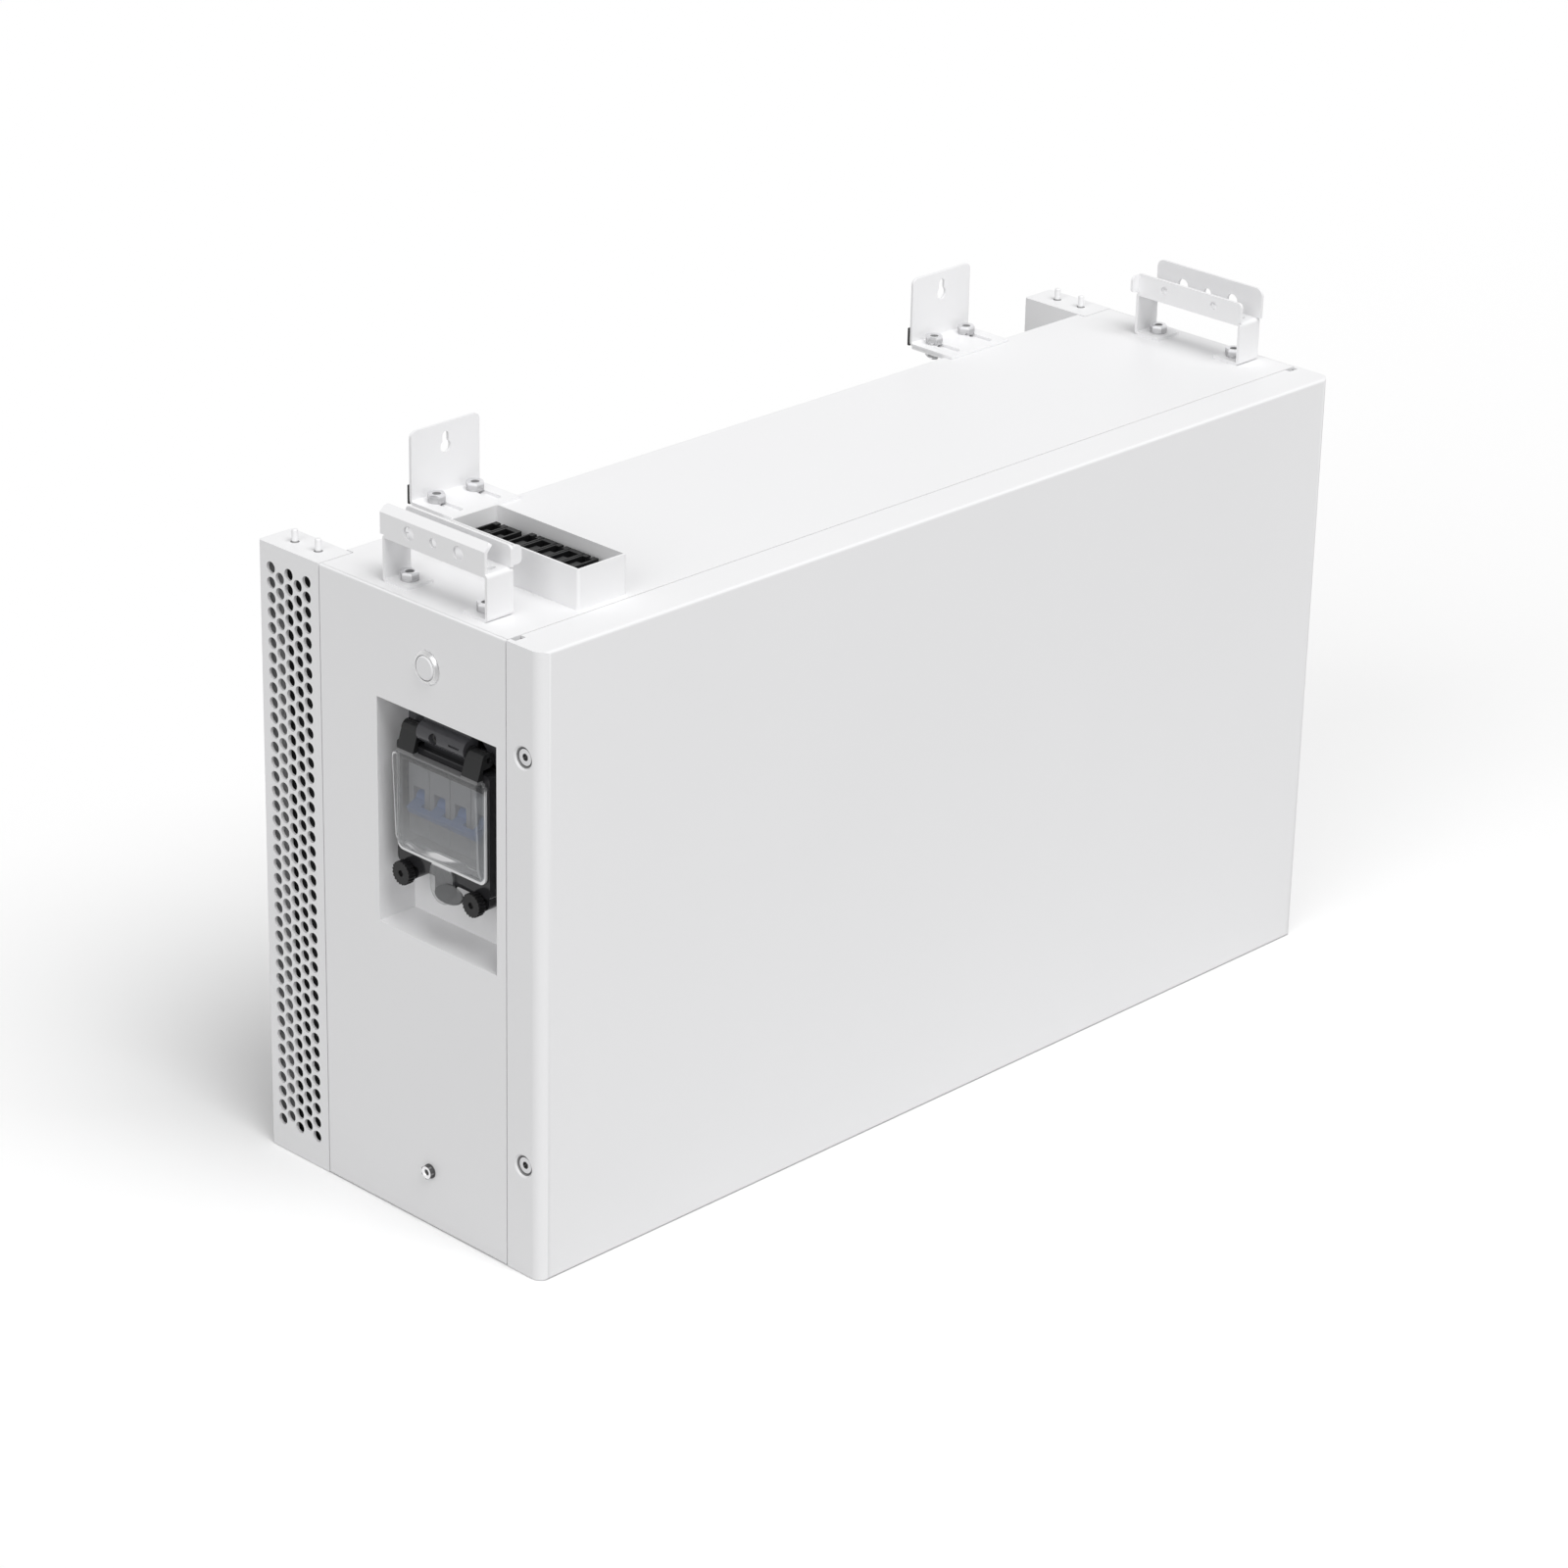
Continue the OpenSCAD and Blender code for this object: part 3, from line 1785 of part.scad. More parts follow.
// Height of the busbar that joins a cell to the next one, or to the other tier
function bus_z(tier, cell) =
  tier_z + tier * tier_pitch + (cell % 2 == tier ? post_in : cell_h - post_in);

// Links between neighbouring cells and one between the tiers: a single series string
module cell_busbars() {
  last_x = pack_x + (cell_cols - 1) * cell_pitch + cell_l / 2;
  low = bus_z(0, cell_cols - 1);
  high = bus_z(1, cell_cols - 1);
  color(copper)
    in_frame() {
      for (t = [0, 1], c = [0:cell_cols - 2])
        translate([pack_x + c * cell_pitch + cell_l / 2 - bus_w / 2, bus_y, bus_z(t, c) - bus_w / 2])
          cube([cell_pitch + bus_w, bus_t, bus_w]);
      translate([last_x - bus_w / 2, bus_y, low - bus_w / 2])
        cube([bus_w, bus_t, high - low + bus_w]);
    }
}

module busbar_cover() {
  stand = cell_y - insulator_y;
  color([0.85, 0.8, 0.6])
    in_frame()
      translate([pack_x, insulator_y, tier_z])
        difference() {
          cube([pack_l, stand, pack_h]);
          translate([-eps, insulator_t, insulator_lip])
            cube([pack_l + 2 * eps, stand, pack_h - 2 * insulator_lip]);
        }
}

// Battery management electronics

module management_plate() {
  plate_w = vent_y - board_plate_y - panel_flange;
  color(steel)
    in_frame()
      translate([board_plate_x, board_plate_y, sheet]) {
        cube([board_plate_t, plate_w, board_z + board_h]);
        cube([board_plate_foot, plate_w, board_plate_t]);
      }
}

module board_corner_places() {
  for (y = [board_hole_in, board_w - board_hole_in], z = [board_hole_in, board_h - board_hole_in])
    translate([0, board_mid_y - board_w / 2 + y, board_z + z])
      children();
}

module board_standoffs() {
  color(steel)
    in_frame()
      board_corner_places()
        translate([board_plate_x + board_plate_t, 0, 0])
          rod_x(standoff_d, board_x - board_plate_x - board_plate_t);
}

module management_board() {
  chip_pitch = board_h / (chip_count + 1);
  color([0.1, 0.4, 0.2])
    in_frame()
      translate([board_x, board_mid_y - board_w / 2, board_z]) {
        cube([board_t, board_w, board_h]);
        for (k = [0:chip_count - 1])
          translate([board_t - eps, chip_in, (k + 1) * chip_pitch - chip_h / 2])
            cube([chip_t, board_w - 2 * chip_in - (k % 2) * chip_step, chip_h]);
      }
}

// Flat copper link from a breaker pole's lower clamp to the first cell post of a tier
module cell_link(pole_y, level) {
  clamp_low = breaker_z - breaker_h / 2 + shoulder_in;
  post_x = pack_x + cell_l / 2;
  translate([link_x, pole_y - link_w / 2, level - link_w / 2])
    cube([link_t, link_w, clamp_low + link_tongue - level + link_w / 2]);
  translate([link_x, bus_y, level - link_w / 2])
    cube([link_t, pole_y - bus_y, link_w]);
  translate([link_x, bus_y, level - link_w / 2])
    cube([post_x + link_w / 2 - link_x, bus_t, link_w]);
}

module positive_link() {
  color(copper)
    in_frame()
      cell_link(breaker_y - nose_w / 2 + pole_w / 2, bus_z(1, 1));
}

module negative_link() {
  color(copper)
    in_frame()
      cell_link(breaker_y + nose_w / 2 - pole_w / 2, bus_z(0, 1));
}

// Flat copper links from the outer poles' upper clamps to the connector base
module output_links() {
  clamp_high = breaker_z + breaker_h / 2 - shoulder_in;
  base_low = case_h - base_depth;
  turn_z = base_low - 2 * link_w;
  rise_x = base_x + base_l / 2;
  color(copper)
    in_frame()
      for (s = [-1, 1])
        translate([0, breaker_y + s * (nose_w - pole_w) / 2 - link_w / 2, 0]) {
          translate([link_x, 0, clamp_high - link_tongue])
            cube([link_t, link_w, turn_z + link_t - clamp_high + link_tongue]);
          translate([link_x, 0, turn_z])
            cube([rise_x - link_x, link_w, link_t]);
          translate([rise_x - link_t, 0, turn_z])
            cube([link_t, link_w, base_low - turn_z]);
        }
}

front_cover();
chassis();
breaker_end_panel();
plain_end_panel();
breaker_recess_tub();
vent_channel_left();
vent_channel_right();
vent_filter_left();
vent_filter_right();
channel_rivets();
locating_pins();
wall_bracket_left();
wall_bracket_right();
wall_pads();
wall_bracket_bolts();
handle_bracket_left();
handle_bracket_right();
handle_bolts();
spring_washers();
bracket_nuts();
cover_screws();
cover_nuts();
ground_screw();
terminal_box();
connector_base();
connector_row();
button_bezel();
button_cap();
button_switch();
button_nut();
breaker_frame();
frame_screw();
breaker_window();
window_hinge_pins();
window_latch();
thumb_screws();
breaker_body();
breaker_toggle();
toggle_pivot_pin();
din_rail();
din_rail_brackets();
battery_cells();
cell_pads();
cell_end_plates();
pack_tie_rods();
cell_busbars();
busbar_cover();
pack_tray();
management_plate();
management_board();
board_standoffs();
positive_link();
negative_link();
output_links();
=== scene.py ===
"""Finished looks of a wall-mounted battery module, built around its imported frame."""

import json
import math

import bmesh
import bpy
from mathutils import Matrix, Vector

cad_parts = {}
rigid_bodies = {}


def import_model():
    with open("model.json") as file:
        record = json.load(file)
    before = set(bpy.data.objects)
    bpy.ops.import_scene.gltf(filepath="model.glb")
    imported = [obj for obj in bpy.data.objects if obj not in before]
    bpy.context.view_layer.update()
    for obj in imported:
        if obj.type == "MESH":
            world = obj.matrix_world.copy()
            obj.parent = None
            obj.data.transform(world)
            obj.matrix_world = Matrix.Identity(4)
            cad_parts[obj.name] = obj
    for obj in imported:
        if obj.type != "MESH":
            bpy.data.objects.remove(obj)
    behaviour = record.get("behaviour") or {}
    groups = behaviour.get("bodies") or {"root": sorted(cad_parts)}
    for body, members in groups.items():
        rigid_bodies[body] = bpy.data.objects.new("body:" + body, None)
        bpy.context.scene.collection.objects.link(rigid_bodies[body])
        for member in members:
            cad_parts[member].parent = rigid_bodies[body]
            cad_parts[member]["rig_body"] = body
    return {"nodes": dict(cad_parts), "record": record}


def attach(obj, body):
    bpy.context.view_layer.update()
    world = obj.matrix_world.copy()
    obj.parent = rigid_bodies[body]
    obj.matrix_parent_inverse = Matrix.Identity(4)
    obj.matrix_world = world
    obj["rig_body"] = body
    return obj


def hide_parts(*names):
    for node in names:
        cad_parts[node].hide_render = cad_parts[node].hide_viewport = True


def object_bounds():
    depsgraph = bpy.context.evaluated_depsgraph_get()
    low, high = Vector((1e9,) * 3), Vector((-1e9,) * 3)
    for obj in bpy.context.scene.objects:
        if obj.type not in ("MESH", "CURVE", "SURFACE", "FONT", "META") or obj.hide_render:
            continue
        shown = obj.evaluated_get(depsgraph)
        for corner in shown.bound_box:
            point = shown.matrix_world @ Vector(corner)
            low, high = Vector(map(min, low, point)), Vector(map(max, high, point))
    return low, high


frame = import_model()
CAD_LOW, CAD_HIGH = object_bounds()

bl_info = {
    "name": "Wall battery module",
    "version": (1, 0, 0),
    "blender": (4, 5, 0),
    "location": "3D View > Sidebar > Battery",
    "description": "Models and finishes the pieces of a wall-mounted battery module",
    "category": "Object",
}

MM = 0.001
SLOTS = {part["node"]: part["material_slot"] for part in frame["record"]["subparts"]}

# Corners closer than a sliver are merged. The angles are in degrees: faces that turn less are merged,
# edges that turn more than the next are rounded, and shading stays smooth up to the last.

SLIVER = 0.015 * MM
FLAT_ANGLE = 0.3
SHARP_ANGLE = 32
SMOOTH_ANGLE = 50

# Depth of the fine marks in brushed and plated metal

BRUSH_DEPTH = 0.01 * MM

# Places in millimetres: along from the module's middle, across from the cover's face, up from the floor

HALF_L = 350
CASE_TOP = 400
BOLT_TOP = 407.5
HINGE_BAR_LOW = 307
NOTCH_ALONG = (338.6, 346.4)
NOTCH_ACROSS = (25.1, 28.9)

# Middles of the pins and bolts, along and across, and of the end panel's screws, across and up

PINS = ((337, 205), (337, 226))
TOP_BOLTS = ((331, 66.5), (331, 131.5), (234.5, 216), (203.5, 216))
COVER_SCREWS = ((15.3, 72), (15.3, 332.4))
GROUND_SCREW = ((97, 37),)
FRAME_SCREW = ((98, 316),)

# Radii in millimetres of the painted shade about those middles, a pair for each ring

COVER_DIMPLE_SHADE = (5.5, 6.3)
PIN_HOLE_SHADE = (2.0, 2.6)
COVER_SOCKET = 2.4
COVER_FACE = 5.4
COVER_RING = (5.2, 6.0)
GROUND_DISH = 2.1
GROUND_FLANK = (4.1, 4.7)
FRAME_SCREW_FACE = 4.0
BOLT_DISH = 3.0
BOLT_FLANK = (5.0, 6.6)

# The window in millimetres: its middle across and up, then half width, half height and corner radius of
# its box and of its flange, the flange's top and foot, the rounding and the depth of the tab's front

WINDOW_MID = (92, 269.5)
WINDOW_BOX = (36.25, 31.5, 4)
WINDOW_FLANGE = (38.25, 32.5, 5)
WINDOW_TOP = 302
WINDOW_FOOT = 237
WINDOW_EDGE = 0.6
TAB_FRONT = 6.2

# A plane just behind the window's sloped front: its lean for each millimetre up, its depth at the floor

FRONT_SLOPE = 0.0415
FRONT_DEPTH = 14

# The oval finger lift with a dished face at the window's foot, in millimetres and degrees

LIFT_PLACE = (2.4, 81, 224)
LIFT_R = 5.5
LIFT_T = 2.4
LIFT_STRETCH = 2.05
LIFT_TILT = -45
LIFT_RIM = 1.4
LIFT_DISH = 0.7
LIFT_EDGE = 0.5

# Where the lamps shine from, and the camera's place in metres and turn in degrees

LAMP_DISC = 40
KEY_FROM = (-0.03, -0.53, 0.845)
SIDE_FROM = (-0.85, -0.25, 0.46)
FLOOR_DROP = 0.4 * MM
CAMERA_PLACE = (-2.08728, -1.98612, 1.44819)
CAMERA_TURN = (-46.053, 23.820, 1.288)
CAMERA_REACH = (0.05, 100)
FILM_WIDTH = 36


# Sizes and colours that a user would change


class BatterySheetProps(bpy.types.PropertyGroup):
    """Painted sheet metal"""

    colour: bpy.props.FloatVectorProperty(
        name="Paint",
        description="Colour of the powder coat",
        subtype="COLOR",
        size=3,
        min=0,
        max=1,
        default=(0.85, 0.85, 0.858),
    )
    roughness: bpy.props.FloatProperty(
        name="Roughness",
        description="Roughness of the powder coat",
        subtype="FACTOR",
        min=0,
        max=1,
        default=0.42,
    )
    edge: bpy.props.FloatProperty(
        name="Sheet edge",
        description="Rounding that the paint gives to a cut sheet edge",
        unit="LENGTH",
        min=0,
        default=0.35 * MM,
    )


class BatteryHardwareProps(bpy.types.PropertyGroup):
    """Screws, plastics and rubber"""

    zinc: bpy.props.FloatVectorProperty(
        name="Zinc",
        description="Colour of the plated screws",
        subtype="COLOR",
        size=3,
        min=0,
        max=1,
        default=(0.62, 0.62, 0.63),
    )
    black: bpy.props.FloatVectorProperty(
        name="Black plastic",
        description="Colour of the connectors and the thumb screws",
        subtype="COLOR",
        size=3,
        min=0,
        max=1,
        default=(0.006, 0.006, 0.0065),
    )
    smoke: bpy.props.FloatVectorProperty(
        name="Smoke plastic",
        description="Colour of the breaker frame",
        subtype="COLOR",
        size=3,
        min=0,
        max=1,
        default=(0.022, 0.022, 0.024),
    )
    window: bpy.props.FloatVectorProperty(
        name="Window tint",
        description="Colour of the clear window",
        subtype="COLOR",
        size=3,
        min=0,
        max=1,
        default=(0.32, 0.33, 0.34),
    )
    breaker: bpy.props.FloatVectorProperty(
        name="Breaker grey",
        description="Colour of the breaker's body",
        subtype="COLOR",
        size=3,
        min=0,
        max=1,
        default=(0.30, 0.31, 0.33),
    )
    toggle: bpy.props.FloatVectorProperty(
        name="Toggle blue",
        description="Colour of the breaker's toggles",
        subtype="COLOR",
        size=3,
        min=0,
        max=1,
        default=(0.10, 0.19, 0.42),
    )
    edge: bpy.props.FloatProperty(
        name="Fitting edge",
        description="Rounding of the edges of screws and moulded pieces",
        unit="LENGTH",
        min=0,
        default=0.2 * MM,
    )


class BatteryStageProps(bpy.types.PropertyGroup):
    """Floor, lamps and camera"""

    floor: bpy.props.FloatProperty(
        name="Floor",
        description="Width of the floor",
        unit="LENGTH",
        min=2,
        default=40,
    )
    sky: bpy.props.FloatProperty(
        name="Sky",
        description="Strength of the even light from all round",
        min=0,
        default=0.35,
    )
    key: bpy.props.FloatProperty(
        name="Key lamp",
        description="Strength of the broad lamp above the cover",
        min=0,
        default=2.05,
    )
    side: bpy.props.FloatProperty(
        name="Side lamp",
        description="Strength of the broad lamp in front of the breaker end",
        min=0,
        default=0.88,
    )
    lens: bpy.props.FloatProperty(
        name="Lens",
        description="Focal length of the camera, in millimetres",
        min=10,
        default=113.56,
    )


# Shader helpers


class Wire:
    """A shader socket. Arithmetic on it adds Math nodes."""

    def __init__(self, finish, socket):
        self.finish = finish
        self.socket = socket

    def math(self, operation, *values):
        inputs = dict(enumerate(values))
        return self.finish.node("ShaderNodeMath", {"operation": operation}, inputs)

    def __add__(self, other):
        return self.math("ADD", self, other)

    def __mul__(self, other):
        return self.math("MULTIPLY", self, other)

    def __sub__(self, other):
        return self.math("SUBTRACT", self, other)

    def __rsub__(self, other):
        return self.math("SUBTRACT", other, self)

    def __pow__(self, other):
        return self.math("POWER", self, other)

    def absolute(self):
        return self.math("ABSOLUTE", self)

    def at_least(self, other):
        return self.math("MAXIMUM", self, other)

    def at_most(self, other):
        return self.math("MINIMUM", self, other)

    __radd__ = __add__
    __rmul__ = __mul__


class Finish:
    """The shader of a material or of the world, built node by node."""

    def __init__(self, owner):
        self.owner = owner
        owner.use_nodes = True
        self.tree = owner.node_tree
        self.tree.nodes.clear()
        self.place = self.node("ShaderNodeTexCoord", {}, {}, "Object")

    def node(self, kind, settings, inputs, output=0):
        """Adds a node with its inputs wired or set, and gives one of its outputs."""
        made = self.tree.nodes.new(kind)
        for key, value in settings.items():
            setattr(made, key, value)
        for key, value in inputs.items():
            if isinstance(value, Wire):
                self.tree.links.new(value.socket, made.inputs[key])
            else:
                made.inputs[key].default_value = value
        return Wire(self, made.outputs[output])

    def noise(self, scale, detail=2.0, stretch=None):
        """Noise fixed to the piece, drawn out along one direction where a stretch is given."""
        place = self.place
        if stretch:
            place = self.node("ShaderNodeMapping", {}, {"Vector": place, "Scale": stretch})
        inputs = {"Vector": place, "Scale": scale, "Detail": detail}
        return self.node("ShaderNodeTexNoise", {}, inputs)

    def mix(self, factor, low, high):
        """The low colour at 0 and the high colour at 1."""
        inputs = {0: factor, 6: low, 7: high}
        return self.node("ShaderNodeMix", {"data_type": "RGBA"}, inputs, 2)

    def ramp(self, value, start, end):
        """0 at the start value and before it, 1 at the end value and past it."""
        inputs = {"Value": value, "From Min": start, "From Max": end}
        return self.node("ShaderNodeMapRange", {"interpolation_type": "SMOOTHSTEP"}, inputs)

    def axes(self):
        """Millimetres from the module's middle, from the cover's face and from the floor."""
        found = []
        for axis, start in zip("XYZ", (0, CAD_LOW[1], 0)):
            place = self.node("ShaderNodeSeparateXYZ", {}, {"Vector": self.place}, axis)
            found.append((place - start) * (1 / MM))
        return found

    def radius(self, first, second, centres):
        """Distance to the nearest of the centres in the plane of the two values."""
        nearest = None
        for centre in centres:
            reach = ((first - centre[0]) ** 2 + (second - centre[1]) ** 2) ** 0.5
            nearest = reach.at_most(nearest) if nearest else reach
        return nearest

    def disc(self, reach, radius, soft=0.4):
        """1 well inside the radius and 0 from the radius on."""
        return self.ramp(reach, radius, radius - soft)

    def band(self, value, low, high, soft=0.3):
        """1 between the two values, falling off softly outside them."""
        return self.ramp(value, low - soft, low) * self.ramp(value, high + soft, high)

    def rim(self, across, height, half_w, half_h, corner):
        """Distance from a rounded rectangle about the window's middle, seen from the end."""
        side = (across - WINDOW_MID[0]).absolute() - (half_w - corner)
        rise = (height - WINDOW_MID[1]).absolute() - (half_h - corner)
        past = (side.at_least(0.0) ** 2 + rise.at_least(0.0) ** 2) ** 0.5
        inside = side.at_least(rise).at_most(0.0)
        return (past + inside - corner).absolute()

    def bump(self, height, depth):
        """Surface relief of the given depth in metres."""
        inputs = {"Height": height, "Distance": depth, "Strength": 1.0}
        return self.node("ShaderNodeBump", {}, inputs)

    def close(self, **sockets):
        """Ends the material with a single surface that takes the wires given."""
        named = {}
        for key, value in sockets.items():
            named[key.replace("_", " ").title().replace("Ior", "IOR")] = value
        return self.show(self.node("ShaderNodeBsdfPrincipled", {}, named))

    def show(self, surface, kind="ShaderNodeOutputMaterial"):
        """Sends the surface to the output and gives back what the shader belongs to."""
        out = self.tree.nodes.new(kind)
        self.tree.links.new(surface.socket, out.inputs["Surface"])
        return self.owner


def new_finish(name):
    """Starts a new material."""
    return Finish(bpy.data.materials.new(name))


def shade(colour, factor):
    """The colour made lighter or darker, with full alpha."""
    return tuple(min(1.0, c * factor) for c in colour[:3]) + (1.0,)


def painted(name, colour, roughness, grain):
    """Powder coat: a fine even grain, a faint drift of colour, and painted shade in the screw dimples,
    around the pin holes and in the notch.
    """
    finish = new_finish(name)
    drift = finish.noise(5.0)
    fine = finish.noise(1400.0, 1.0)
    along, across, height = finish.axes()
    along = along.absolute()
    # Painted shade: dark rings in the screw dimples and around the pin holes, and a dark patch in the notch
    screw_dimple_shade = finish.band(finish.radius(across, height, COVER_SCREWS), *COVER_DIMPLE_SHADE)
    pin_hole_shade = finish.band(finish.radius(along, across, PINS), *PIN_HOLE_SHADE, 0.2)
    pin_hole_shade = pin_hole_shade * finish.ramp(height, CASE_TOP - 1.0, CASE_TOP - 0.5)
    pin_hole_shade = pin_hole_shade * finish.ramp(height, CASE_TOP + 1.2, CASE_TOP + 0.5)
    notch_shade = finish.band(along, *NOTCH_ALONG) * finish.band(across, *NOTCH_ACROSS)
    notch_shade = notch_shade * finish.ramp(height, CASE_TOP - 1.5, CASE_TOP - 2.0)
    painted_shade = screw_dimple_shade + 0.7 * pin_hole_shade + 0.75 * notch_shade
    coat = finish.mix(drift, shade(colour, 0.985), shade(colour, 1.012))
    return finish.close(
        base_color=finish.mix(painted_shade, coat, shade(colour, 0.22)),
        roughness=roughness + 0.06 * (fine - 0.5),
        normal=finish.bump(fine, grain),
    )


def plated(name, colour, roughness, stretch):
    """Bright plated or brushed metal with fine marks along one direction and a painted sheen, paler on edge.
    """
    finish = new_finish(name)
    marks = finish.noise(420.0, 3.0, stretch)
    facing = finish.node("ShaderNodeLayerWeight", {}, {"Blend": 0.5}, "Facing")
    # Painted sheen: the colour is darker face-on and paler on edge
    return finish.close(
        base_color=finish.mix(facing, shade(colour, 0.55), shade(colour, 1.45)),
        metallic=1.0,
        roughness=roughness + 0.16 * (marks - 0.5),
        normal=finish.bump(marks, BRUSH_DEPTH),
    )


def screw_metal(name, colour, roughness):
    """Zinc plate, duller where it has painted shade: in the sockets, dishes and rings of the heads and on
    the flanks below them.
    """
    finish = new_finish(name)
    marks = finish.noise(420.0, 3.0, (1, 1, 6))
    along, across, height = finish.axes()
    cover = finish.radius(across, height, COVER_SCREWS)
    ground = finish.radius(across, height, GROUND_SCREW)
    catch = finish.radius(across, height, FRAME_SCREW)
    bolt = finish.radius(along.absolute(), across, TOP_BOLTS)
    in_head = finish.ramp(height, BOLT_TOP - 4.0, BOLT_TOP - 2.5)
    below_top = finish.ramp(height, BOLT_TOP - 0.7, BOLT_TOP - 2.5)
    # Painted shade: dark sockets, dishes and rings in the heads, the frame screw's face and darker bolt
    # flanks; the cover screws' faces a little darker all over
    dark = finish.disc(cover, COVER_SOCKET) + finish.band(cover, *COVER_RING)
    dark = dark + 0.25 * finish.disc(cover, COVER_FACE)
    dark = dark + finish.disc(ground, GROUND_DISH, 0.5) + finish.band(ground, *GROUND_FLANK)
    dark = dark + 0.85 * finish.disc(bolt, BOLT_DISH, 0.6) * in_head
    dark = dark + 0.4 * finish.band(bolt, *BOLT_FLANK) * below_top
    dark = dark + finish.disc(catch, FRAME_SCREW_FACE)
    dark = dark.at_most(1.0)
    return finish.close(
        base_color=finish.mix(dark, shade(colour, 1.3), shade(colour, 0.12)),
        metallic=1.0 - 0.7 * dark,
        roughness=roughness + 0.16 * (marks - 0.5) + 0.25 * dark,
        normal=finish.bump(marks, BRUSH_DEPTH),
    )


def moulded(name, colour, roughness, grain, spread=0.12, bar=1.0):
    """Moulded plastic or rubber: a fine grain, a slightly uneven gloss, and a paler hinge bar if asked."""
    finish = new_finish(name)
    fine = finish.noise(2200.0, 2.0)
    cloud = finish.noise(45.0)
    height = finish.axes()[2]
    on_bar = finish.ramp(height, HINGE_BAR_LOW, HINGE_BAR_LOW + 2)
    tone = finish.mix(on_bar, shade(colour, 1.0), shade(colour, bar))
    return finish.close(
        base_color=finish.mix(0.15 * cloud, tone, shade(colour, 2.0)),
        roughness=roughness + spread * (cloud - 0.5),
        normal=finish.bump(fine, grain),
        specular_ior_level=0.28,
    )


def clear(name, colour):
    """Smoked clear plastic under a gloss: painted highlights along its rims, painted glints near its foot,
    paler low on the window and dark at the hinge.
    """
    finish = new_finish(name)
    cloud = finish.noise(30.0)
    glints = finish.noise(34.0, 1.0, (1, 1, 2.5))
    along, across, height = finish.axes()
    depth = along + HALF_L
    low = finish.ramp(height, WINDOW_TOP - 10, WINDOW_FOOT + 6)
    hinge = finish.ramp(height, WINDOW_TOP - 1.5, WINDOW_TOP + 0.2)
    tab = finish.ramp(height, WINDOW_FOOT + 0.2, WINDOW_FOOT - 1.5)
    lift = tab * finish.ramp(depth, TAB_FRONT, TAB_FRONT - 0.2)
    dark = (hinge + 0.8 * lift).at_most(1.0)

    # Painted highlights: pale, denser bands along the rims of the box and of the flange, and pale glints on
    # the slope near the foot
    front = depth + FRONT_SLOPE * height
    box_rim = finish.ramp(finish.rim(across, height, *WINDOW_BOX), 1.0, 0.5)
    box_rim = box_rim * finish.ramp(front, FRONT_DEPTH + 0.2, FRONT_DEPTH - 0.2)
    box_rim = box_rim * finish.ramp(across, WINDOW_MID[0] + 30, WINDOW_MID[0] + 34)
    flange = finish.rim(across, height, *WINDOW_FLANGE)
    foot_rim = finish.ramp(flange, 2.4, 1.4) * finish.ramp(height, WINDOW_FOOT + 6, WINDOW_FOOT + 3)
    flange_rim = finish.ramp(flange, 1.2, 0.6).at_least(foot_rim)
    flange_rim = flange_rim * (1 - 0.8 * finish.ramp(height, WINDOW_TOP - 6, WINDOW_TOP - 3))
    rim = (box_rim + flange_rim).at_most(1.0) * (1 - tab)
    painted_glints = finish.band(height, WINDOW_FOOT + 3.5, WINDOW_FOOT + 9.5, 1) * finish.ramp(glints, 0.52, 0.60)
    painted_highlight = (rim + painted_glints).at_most(1.0)
    flank = finish.ramp(across, WINDOW_MID[0] - 33.5, WINDOW_MID[0] - 35.5)
    flank = flank * finish.ramp(height, WINDOW_TOP - 5, WINDOW_TOP - 10) * (1 - tab)

    tint = finish.mix(low, shade(colour, 0.45), shade(colour, 1.1))
    tint = finish.mix(flank, tint, shade(colour, 1.3))
    tint = finish.mix(dark, tint, shade(colour, 0.06))
    alpha = 0.18 + 0.34 * low**2 + 0.25 * flank + 0.4 * painted_highlight
    alpha = alpha + 0.82 * hinge + 0.28 * lift - 0.44 * (tab - lift)
    haze = {
        "Base Color": finish.mix(painted_highlight, tint, (0.85, 0.85, 0.86, 1)),
        "Roughness": 0.08 + 0.03 * cloud,
        "Alpha": alpha,
        "Specular IOR Level": 0.1,
    }
    gloss = {"Base Color": (1, 1, 1, 1), "Metallic": 1.0, "Roughness": 0.03 + 0.02 * cloud}
    facing = finish.node("ShaderNodeLayerWeight", {}, {"Blend": 0.5}, "Facing")
    shine = (0.045 + 0.9 * facing**5) * (1 - 0.7 * hinge)
    body = finish.node("ShaderNodeBsdfPrincipled", {}, haze)
    skin = finish.node("ShaderNodeBsdfPrincipled", {}, gloss)
    return finish.show(finish.node("ShaderNodeMixShader", {}, {0: shine, 1: body, 2: skin}))


MATERIALS = {}


